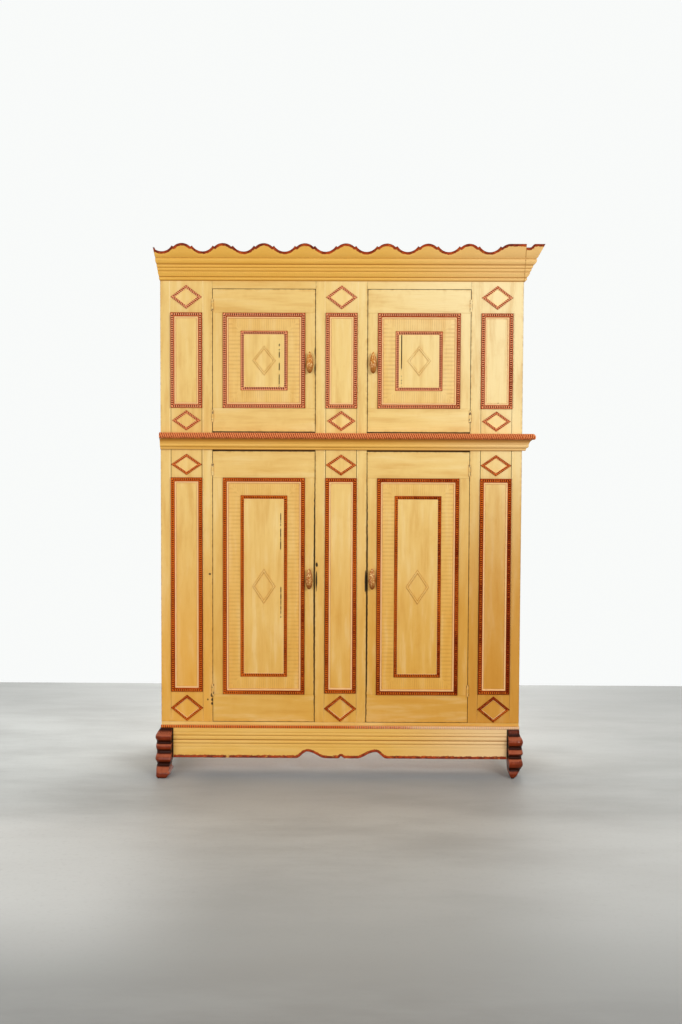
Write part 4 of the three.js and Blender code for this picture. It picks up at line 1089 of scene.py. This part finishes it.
# Painted shade in the reeds' hollows and on their undersides, none on the plain top
reed_hollow = hollowness(reeds, REED_REACH, REED_DEEP) * (reeds[:, 1] < FOOT_TOP - PLAIN_TOP)
skirt_half = (skirt_high[0] - skirt_low[0]) / 2
spots = np.linspace(-skirt_half, skirt_half, SKIRT_STATIONS)
edge_out = SKIRT_FRONT - SKIRT_EASED * (SKIRT_ROWS < 0.2)
out = np.concatenate([[SKIRT_BACK], reeds[:, 0], edge_out, [SKIRT_BACK, SKIRT_BACK]])
up = np.array([
    [FOOT_TOP, *np.maximum(reeds[:, 1], edge + ROWS_TOP), *(edge + SKIRT_ROWS), edge,
     edge + BACK_RISE] for edge in skirt_edge(spots)])
skirt_points = grid(spots[:, None], -out, up)
red = edge_red(skirt_points[:, :, 0], up, spots, skirt_edge, SKIRT_RED)
# The skirt's ends are painted black as shade in the gap to the feet
gap_shade = (np.abs(spots) > skirt_half - SKIRT_GAP)[:, None]
skirt_hollow = np.concatenate([[0], reed_hollow, np.zeros(len(SKIRT_ROWS) + 2)])
# Paler towards the right as a painted sheen
skirt_paint = moulded_yellow("skirt_paint", "across", 0.0, orange=0.6, pale=0.75, tone_and_shade=-0.6)
piece("skirt_board", "case", skirt_points, skirt_paint, ["skirt"],
      {"hollow": skirt_hollow, "red": red * (1 - gap_shade), "gap_shade": gap_shade})

# Front feet: scrolls carved in lobes, with a crosshatched knee. Outlines are shares of the
# toe's reach, the swell and the foot's breadth, each with its share of the foot's height.
FOOT_OUTLINES = {
    "left": ([
        (0.9, 0), (1, 0.04), (0.99, 0.11), (0.86, 0.19), (0.66, 0.28), (0.76, 0.325),
        (0.9, 0.375), (0.84, 0.44), (0.68, 0.52), (0.66, 0.555), (0.78, 0.61), (0.78, 0.66),
        (0.62, 0.72), (0.7, 0.765), (0.8, 0.81), (0.8, 0.865), (0.62, 0.93), (0.46, 1)], [
        (0.5, 0), (0.78, 0.03), (0.74, 0.11), (0.78, 0.2), (0.66, 0.28), (0.9, 0.36),
        (0.97, 0.41), (0.8, 0.47), (0.7, 0.52), (0.84, 0.58), (0.9, 0.64), (0.82, 0.7),
        (0.78, 0.75), (0.98, 0.81), (0.94, 0.87), (0.44, 0.95), (0, 1)], [
        (0.42, 0), (0.3, 0.04), (0.2, 0.075), (0, 0.11), (0.21, 0.15), (0.13, 0.27),
        (0, 0.36), (0, 1)]),
    "right": ([
        (0.5, 0), (0.64, 0.04), (0.71, 0.1), (0.66, 0.16), (0.62, 0.2), (0.76, 0.25),
        (0.9, 0.32), (0.86, 0.39), (0.68, 0.46), (0.72, 0.495), (0.88, 0.53), (0.78, 0.59),
        (0.64, 0.66), (0.74, 0.7), (0.84, 0.76), (0.78, 0.83), (0.54, 0.89), (0.4, 1)], [
        (-1.15, 0), (-0.6, 0.065), (-0.1, 0.14), (0.27, 0.2), (0.66, 0.28), (0.62, 0.34),
        (0.44, 0.4), (0.4, 0.47), (0.68, 0.53), (0.56, 0.59), (0.44, 0.655), (0.6, 0.71),
        (0.68, 0.76), (0.56, 0.82), (0.2, 0.86), (0.05, 0.92), (0, 1)], [
        (0.28, 0), (0.12, 0.07), (0.07, 0.16), (0, 0.34), (0, 1)]),
}
FOOT_BACK, FOOT_TOE, FOOT_SWELL, FOOT_INSET = 36.0, 70.0, 19.0, 44.0
FOOT_LEVELS, FOOT_CORNER, FOOT_SHARP, LOBE_WINDOW = 150, 19.0, 50, 14
FLAT_POINTS, TURN_POINTS, SIDE_POINTS = 26, 9, 16
HATCH_LOW, HATCH_HIGH, HATCH_EDGE = 0.885, 0.985, 0.015
HATCH_PITCH, HATCH_CUT, HATCH_SLANT, HATCH_SHARP = 5.2, 1.3, 1.15, 5
foot_finish = foot_paint("foot_paint")


def smooth_line(points, shares):
    table = np.array(points, float)
    values = np.interp(shares, table[:, 1], table[:, 0])
    window = np.hanning(9)
    return np.convolve(np.pad(values, 4, mode="edge"), window / window.sum(), "valid")


def carved_foot(hand, mirror):
    shares = np.linspace(0, 1, FOOT_LEVELS)
    front, side, heel = [
        smooth_line(outline, shares) * size
        for outline, size in zip(FOOT_OUTLINES[hand], (FOOT_TOE, FOOT_SWELL, FOOT_INSET))]
    window = 2 * LOBE_WINDOW + 1
    lobe = np.convolve(
        np.pad(front, LOBE_WINDOW, mode="edge"), np.ones(window) / window, "valid")
    rise = np.gradient(front, shares * FOOT_TOP)
    rows, hollows, lights = [], [], []
    for level, share in enumerate(shares):
        z = share * FOOT_TOP
        x0, x1 = CASE_HALF - FOOT_INSET + heel[level], CASE_HALF + side[level]
        y0 = -front[level]
        corner = min(FOOT_CORNER, (x1 - x0) / 3)
        outline = [(x0, FOOT_BACK), (x0, FOOT_BACK / 2), (x0, 0), (x0, y0 + 8), (x0, y0 + 3),
                   (x0 + 0.6, y0 + 0.6)]
        outline += [(x, y0) for x in np.linspace(x0 + 2, x1 - corner, FLAT_POINTS)]
        outline += [(x1 - corner + corner * math.sin(turn), y0 + corner - corner * math.cos(turn))
                    for turn in np.linspace(0, math.pi / 2, TURN_POINTS)[1:-1]]
        outline += [(x1, y) for y in np.linspace(y0 + corner, FOOT_BACK, SIDE_POINTS)]
        run, back = np.array(outline).T
        hatched = np.clip(min(share - HATCH_LOW, HATCH_HIGH - share) / HATCH_EDGE, 0, 1)
        lines = np.maximum(*[
            notch((run + slant * z) / HATCH_PITCH, HATCH_SHARP)
            for slant in (HATCH_SLANT, -HATCH_SLANT)])
        cut = lines * hatched * np.clip((back - y0) * -0.12 + 1, 0, 1)
        rows.append(grid(run * mirror, back + cut * HATCH_CUT, z))
        # Painted shade in the lobes' hollows, cuts and faces turned down, painted highlight on
        # faces turned up
        shaded = np.clip(rise[level] - 0.3, 0, 1) * 0.7
        depth = np.clip((lobe[level] - front[level]) / 3.5 + shaded, 0, 1)
        hollows.append(np.maximum(depth, cut * 0.7))
        lights.append([np.clip(0.25 - rise[level] * 0.8, 0, 1) * (1 - depth)])
    piece(f"carved_foot_{hand}", "case", np.array(rows), foot_finish,
          [f"foot_{hand}"], {"hollow": hollows, "lit": lights}, sharp=FOOT_SHARP)


carved_foot("left", -1)
carved_foot("right", 1)

# Pulls: cones cut in facets, on a turned neck, with their spindles. The head's rows are
# shares of its breadth and height, and the neck's are places back and radii.
PULL_SHARES = np.array([
    (0.1, 0.0), (0.42, 0.04), (0.7, 0.13), (0.9, 0.25), (1.0, 0.4), (0.96, 0.55), (0.8, 0.7),
    (0.56, 0.84), (0.3, 0.94), (0.08, 1.0)])
NECK = np.array([
    (-18, 5.0), (-14, 5.2), (-9, 5.6), (-4, 7.6), (-1.6, 9.4), (-0.4, 9.6), (-0.35, 4.4),
    (10, 4.4), (21.6, 4.4), (22, 3.2), (27.5, 3.2)])
PULL_SIDES, NECK_SIDES, PULL_OUT, PULL_HALF, PULL_SHARP = 8, 24, -20.0, 7.6, 4
FACET_WIDTH, FACET_ANGLE = 0.0005, 6
pull_finish = polished_wood("pull_wood")
outs, shares = PULL_SHARES.T[:, :, None]
back, radius = NECK.T[:, :, None]
last_row = len(PULL_SHARES) - 1
turned = np.arange(last_row + 1)[:, None] % 2 / 2
turn = (np.arange(PULL_SIDES) + turned) * 2 * np.pi / PULL_SIDES
round_turn = np.arange(NECK_SIDES) * 2 * np.pi / NECK_SIDES
facets = []
for row in range(last_row):
    here, there = row * PULL_SIDES, (row + 1) * PULL_SIDES
    for side in range(PULL_SIDES):
        beside = (side + 1) % PULL_SIDES
        lead, trail = (beside, side) if row % 2 else (side, beside)
        facets.append((here + side, here + beside, there + lead))
        facets.append((there + side, there + beside, here + trail))
facets.append(tuple(range(PULL_SIDES)))
facets.append(tuple(last_row * PULL_SIDES + side for side in range(PULL_SIDES)))
for door in doors:
    node = f"pull_{door}"
    low, high = span(node)
    middle, level = (low[0] + high[0]) / 2, (low[2] + high[2]) / 2
    half = (high[0] - low[0]) / 2
    x = middle + outs * half * np.cos(turn)
    points = grid(x, PULL_OUT + outs * PULL_HALF * np.sin(turn),
                  low[2] + shares * (high[2] - low[2]))
    # Painted shade at the foot and the sides of the head, glints on the rest
    dark = np.maximum(0.95 - shares * 2.4, np.abs(x - middle) / half * 1.6 - 0.9)
    dark = np.clip(dark, 0, 1)
    head = piece(f"pull_head_{door}", node, points, pull_finish, [node],
                 {"hollow": dark, "lit": (1 - dark) * (shares > 0.1)}, facets, PULL_SHARP)
    bevel = head.modifiers.new("facets", "BEVEL")
    bevel.width = FACET_WIDTH
    bevel.segments = 2
    bevel.limit_method = "ANGLE"
    bevel.angle_limit = math.radians(FACET_ANGLE)
    points = grid(
        middle + radius * np.cos(round_turn), back, level + radius * np.sin(round_turn))
    piece(f"pull_neck_{door}", node, points, pull_finish, [node])

# Finishes of the CAD's own boards
BOARD_EDGE, FRAME_EDGE, LATCH_EDGE = 1.2, 0.9, 0.8
FLAT_ANGLE, EDGE_ANGLE = 1, 70


def refinish(name, finish, width=0.0):
    """Gives a CAD board its finish and takes the sharpness off its edges."""
    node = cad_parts[name]
    for slot in node.material_slots:
        slot.material = finish
    if not node.material_slots:
        node.data.materials.append(finish)
    if width:
        flat = node.modifiers.new("flat", "DECIMATE")
        flat.decimate_type = "DISSOLVE"
        flat.angle_limit = math.radians(FLAT_ANGLE)
        bevel = node.modifiers.new("eased", "BEVEL")
        bevel.width = width * MM
        bevel.segments = 2
        bevel.limit_method = "ANGLE"
        bevel.angle_limit = math.radians(EDGE_ANGLE)


side_paint = yellow_boards("side_paint", "up", 0.05, False)
shelf_wood = bare_wood("shelf_wood", "across")
back_wood = bare_wood("back_wood", "up", 0.5)
hinge_finish = painted_iron("hinge_iron")
for name in ("side_left", "side_right"):
    refinish(name, side_paint, BOARD_EDGE)
# The frieze is painted deeper as shade under the cornice, and the base rail paler
for node, name, tone_and_shade in (
        ("top_rail", "frieze_paint", 0.3), ("mid_rail", "rail_paint", 0.0),
        ("bottom_rail", "base_rail_paint", -0.3)):
    refinish(node, yellow_boards(name, "across", tone_and_shade), BOARD_EDGE)
for name in ("bottom_board", "lower_shelf", "middle_board", "upper_shelf", "top_board"):
    refinish(name, shelf_wood, BOARD_EDGE)
refinish("back_boards", back_wood)
STRIP_HALF = 65.0
# Knots and chips, and spots of painted shade at the door gaps: place across and level, then
# breadth and height, from the case's middle
KNOTS_AND_GAP_SHADE = {
    "left": [(-514, 798, 5, 4), (-507, 318, 5, 9), (-505, 300, 5, 6), (-506, 284, 4, 6),
             (-523, 300, 3, 4)],
    "centre": [(-94, 837, 5, 11), (-95, 775, 3.5, 40), (98, 770, 4, 45)],
    "right": [(611, 1470, 4, 3), (505, 326, 3, 8)],
}
# How far each pilaster and door is painted darker and browner towards its foot and the
# right, as shade
FOOTWARD_SHADE = {"left": 0.42, "centre": 0.08, "right": 0.46, "lower_right": 0.2}
DOOR_WARMTH = 0.12
# Where a door's long edge is painted dark as shade in its gap: which edge, the middle's
# level, breadth and half height
GAP_SHADE_SPOTS = {
    "upper_left": [("right", 1669, 3.0, 18), ("right", 1598, 3.2, 24)],
    "upper_right": [("right", 1695, 3.8, 140)],
    "lower_left": [("right", 700, 4.6, 480)],
    "lower_right": [("left", 700, 5.0, 480)],
}
for place in places:
    node = f"pilaster_{place}"
    low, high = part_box(node)
    middle = (low.x + high.x) / 2
    seams = [middle - STRIP_HALF * MM, middle + STRIP_HALF * MM]
    knots_and_gap_shade = [((x + ORIGIN[0]) * MM, z * MM, wide * MM, tall * MM)
             for x, z, wide, tall in KNOTS_AND_GAP_SHADE[place]]
    refinish(node, yellow_frame(
        f"pilaster_paint_{place}", node, (), seams, knots_and_gap_shade, 0.0, FOOTWARD_SHADE[place]), FRAME_EDGE)
for door in doors:
    node = f"door_{door}_frame"
    low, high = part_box(node)
    opening = [corner.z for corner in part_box(f"door_{door}_outer_moulding")]
    gaps = [(low.x if edge == "left" else high.x, level * MM, wide * MM, tall * MM)
            for edge, level, wide, tall in GAP_SHADE_SPOTS[door]]
    refinish(node, yellow_frame(
        f"door_paint_{door}", node, opening, (), gaps, DOOR_WARMTH, FOOTWARD_SHADE.get(door, 0.0)),
        FRAME_EDGE)
    refinish(f"latch_{door}", back_wood, LATCH_EDGE)
    for end in ("bottom", "top"):
        refinish(f"hinge_{door}_{end}", hinge_finish)

# Floor: pale worn concrete, which ends where the white ground begins
FLOOR_BACK, FLOOR_SIDE, FLOOR_FRONT = 1.7, 7.0, -7.0
FLOOR_NEAR, FLOOR_PALE = shade(118, 117, 114), shade(196, 198, 195)
FLOOR_STAIN, FLOOR_RIGHT = shade(156, 156, 153), shade(150, 150, 147)
FLOOR_FAR = shade(150, 151, 149)
FLOOR_LIT_PATCH, FLOOR_LIT_UNDER = shade(236, 236, 232), shade(250, 251, 248)
FLOOR_CONTACT_SHADOW, FLOOR_GRIT = shade(134, 140, 146), shade(140, 138, 132)
floor_mesh = bpy.data.meshes.new("floor")
floor_mesh.from_pydata([
    (-FLOOR_SIDE, FLOOR_FRONT, 0), (FLOOR_SIDE, FLOOR_FRONT, 0),
    (FLOOR_SIDE, FLOOR_BACK, 0), (-FLOOR_SIDE, FLOOR_BACK, 0)], [], [(0, 1, 2, 3)])
concrete = Finish("floor_concrete", {"Metallic": 0.0, "Specular IOR Level": 0.4})
step = concrete.step
across, depth, _ = concrete.axes()
stains = concrete.noise((1.3, 3.6, 1.0), 6.0, 0.62)
below = step(abs(across), 0.72, 0.5)
# Painted light and shade: paler behind a darker front, darker to the right and at the back,
# lit in patches on both sides before the cupboard and under it, and a painted contact shadow
# along its front. Stained and gritty all over.
tone = concrete.coats(
    FLOOR_NEAR,
    (depth, -2.8, -0.8, 1.0, FLOOR_PALE),
    (stains, 0.35, 0.7, 0.5, FLOOR_STAIN),
    (across, 0.0, 1.6, 0.55, FLOOR_RIGHT),
    (depth, 0.6, 1.4, 0.5, FLOOR_FAR),
    (depth, -2.4, -1.4, step(depth, -0.6, -1.0) * (
        step(across, -0.3, -0.8) * 0.56 + step(across, 0.3, 0.8) * 0.24), FLOOR_LIT_PATCH),
    (depth, -0.2, -0.03, below * step(depth, 0.22, 0.12) * 0.95, FLOOR_LIT_UNDER),
    (depth, -0.9, -0.25, below * step(depth, -0.12, -0.25) * 0.62, FLOOR_CONTACT_SHADOW),
    (concrete.noise(60), 0.5, 0.8, 0.12, FLOOR_GRIT),
)
floor_mesh.materials.append(concrete.done(tone, 0.5 + stains * 0.14))
floor = shown("floor", floor_mesh)

# White ground and soft lamps
GROUND_WHITE, AMBIENT = (0.945, 0.96, 0.95, 1.0), 0.42
world = bpy.data.worlds.new("studio")
world.use_nodes = True
bpy.context.scene.world = world
sky = Recipe(world.node_tree)
backdrop = world.node_tree.nodes["Background"]
path = sky.node("ShaderNodeLightPath").socket.node
rays = [Term(sky, path.outputs[f"Is {ray} Ray"]) for ray in ("Camera", "Glossy", "Transmission")]
sky.feed(backdrop.inputs["Color"], GROUND_WHITE)
sky.feed(backdrop.inputs["Strength"], AMBIENT + sky.fold("MAXIMUM", *rays) * (1 - AMBIENT))
# Each lamp's place, what it is aimed at, its size, its power and whether it shows in gloss
LAMPS = {
    "key_lamp": ((2.4, -4.4, 2.4), (0.0, 0.0, 1.1), 1.2, 94, True),
    "fill_lamp": ((-2.2, -4.6, 1.5), (0.0, 0.0, 1.0), 3.0, 86, True),
    "top_lamp": ((0.3, 1.9, 4.4), (0.0, 0.2, 0.0), 2.4, 150, False),
    "low_lamp": ((0.0, 3.4, 0.9), (0.0, 0.0, 0.0), 2.6, 75, False),
}
for name, (place, target, size, power, glossy) in LAMPS.items():
    light = bpy.data.lights.new(name, "AREA")
    light.shape = "DISK"
    light.size = size
    light.energy = power
    lamp = shown(name, light)
    lamp.matrix_world = aimed(place, Vector(target) - Vector(place))
    lamp.visible_camera = False
    lamp.visible_glossy = glossy
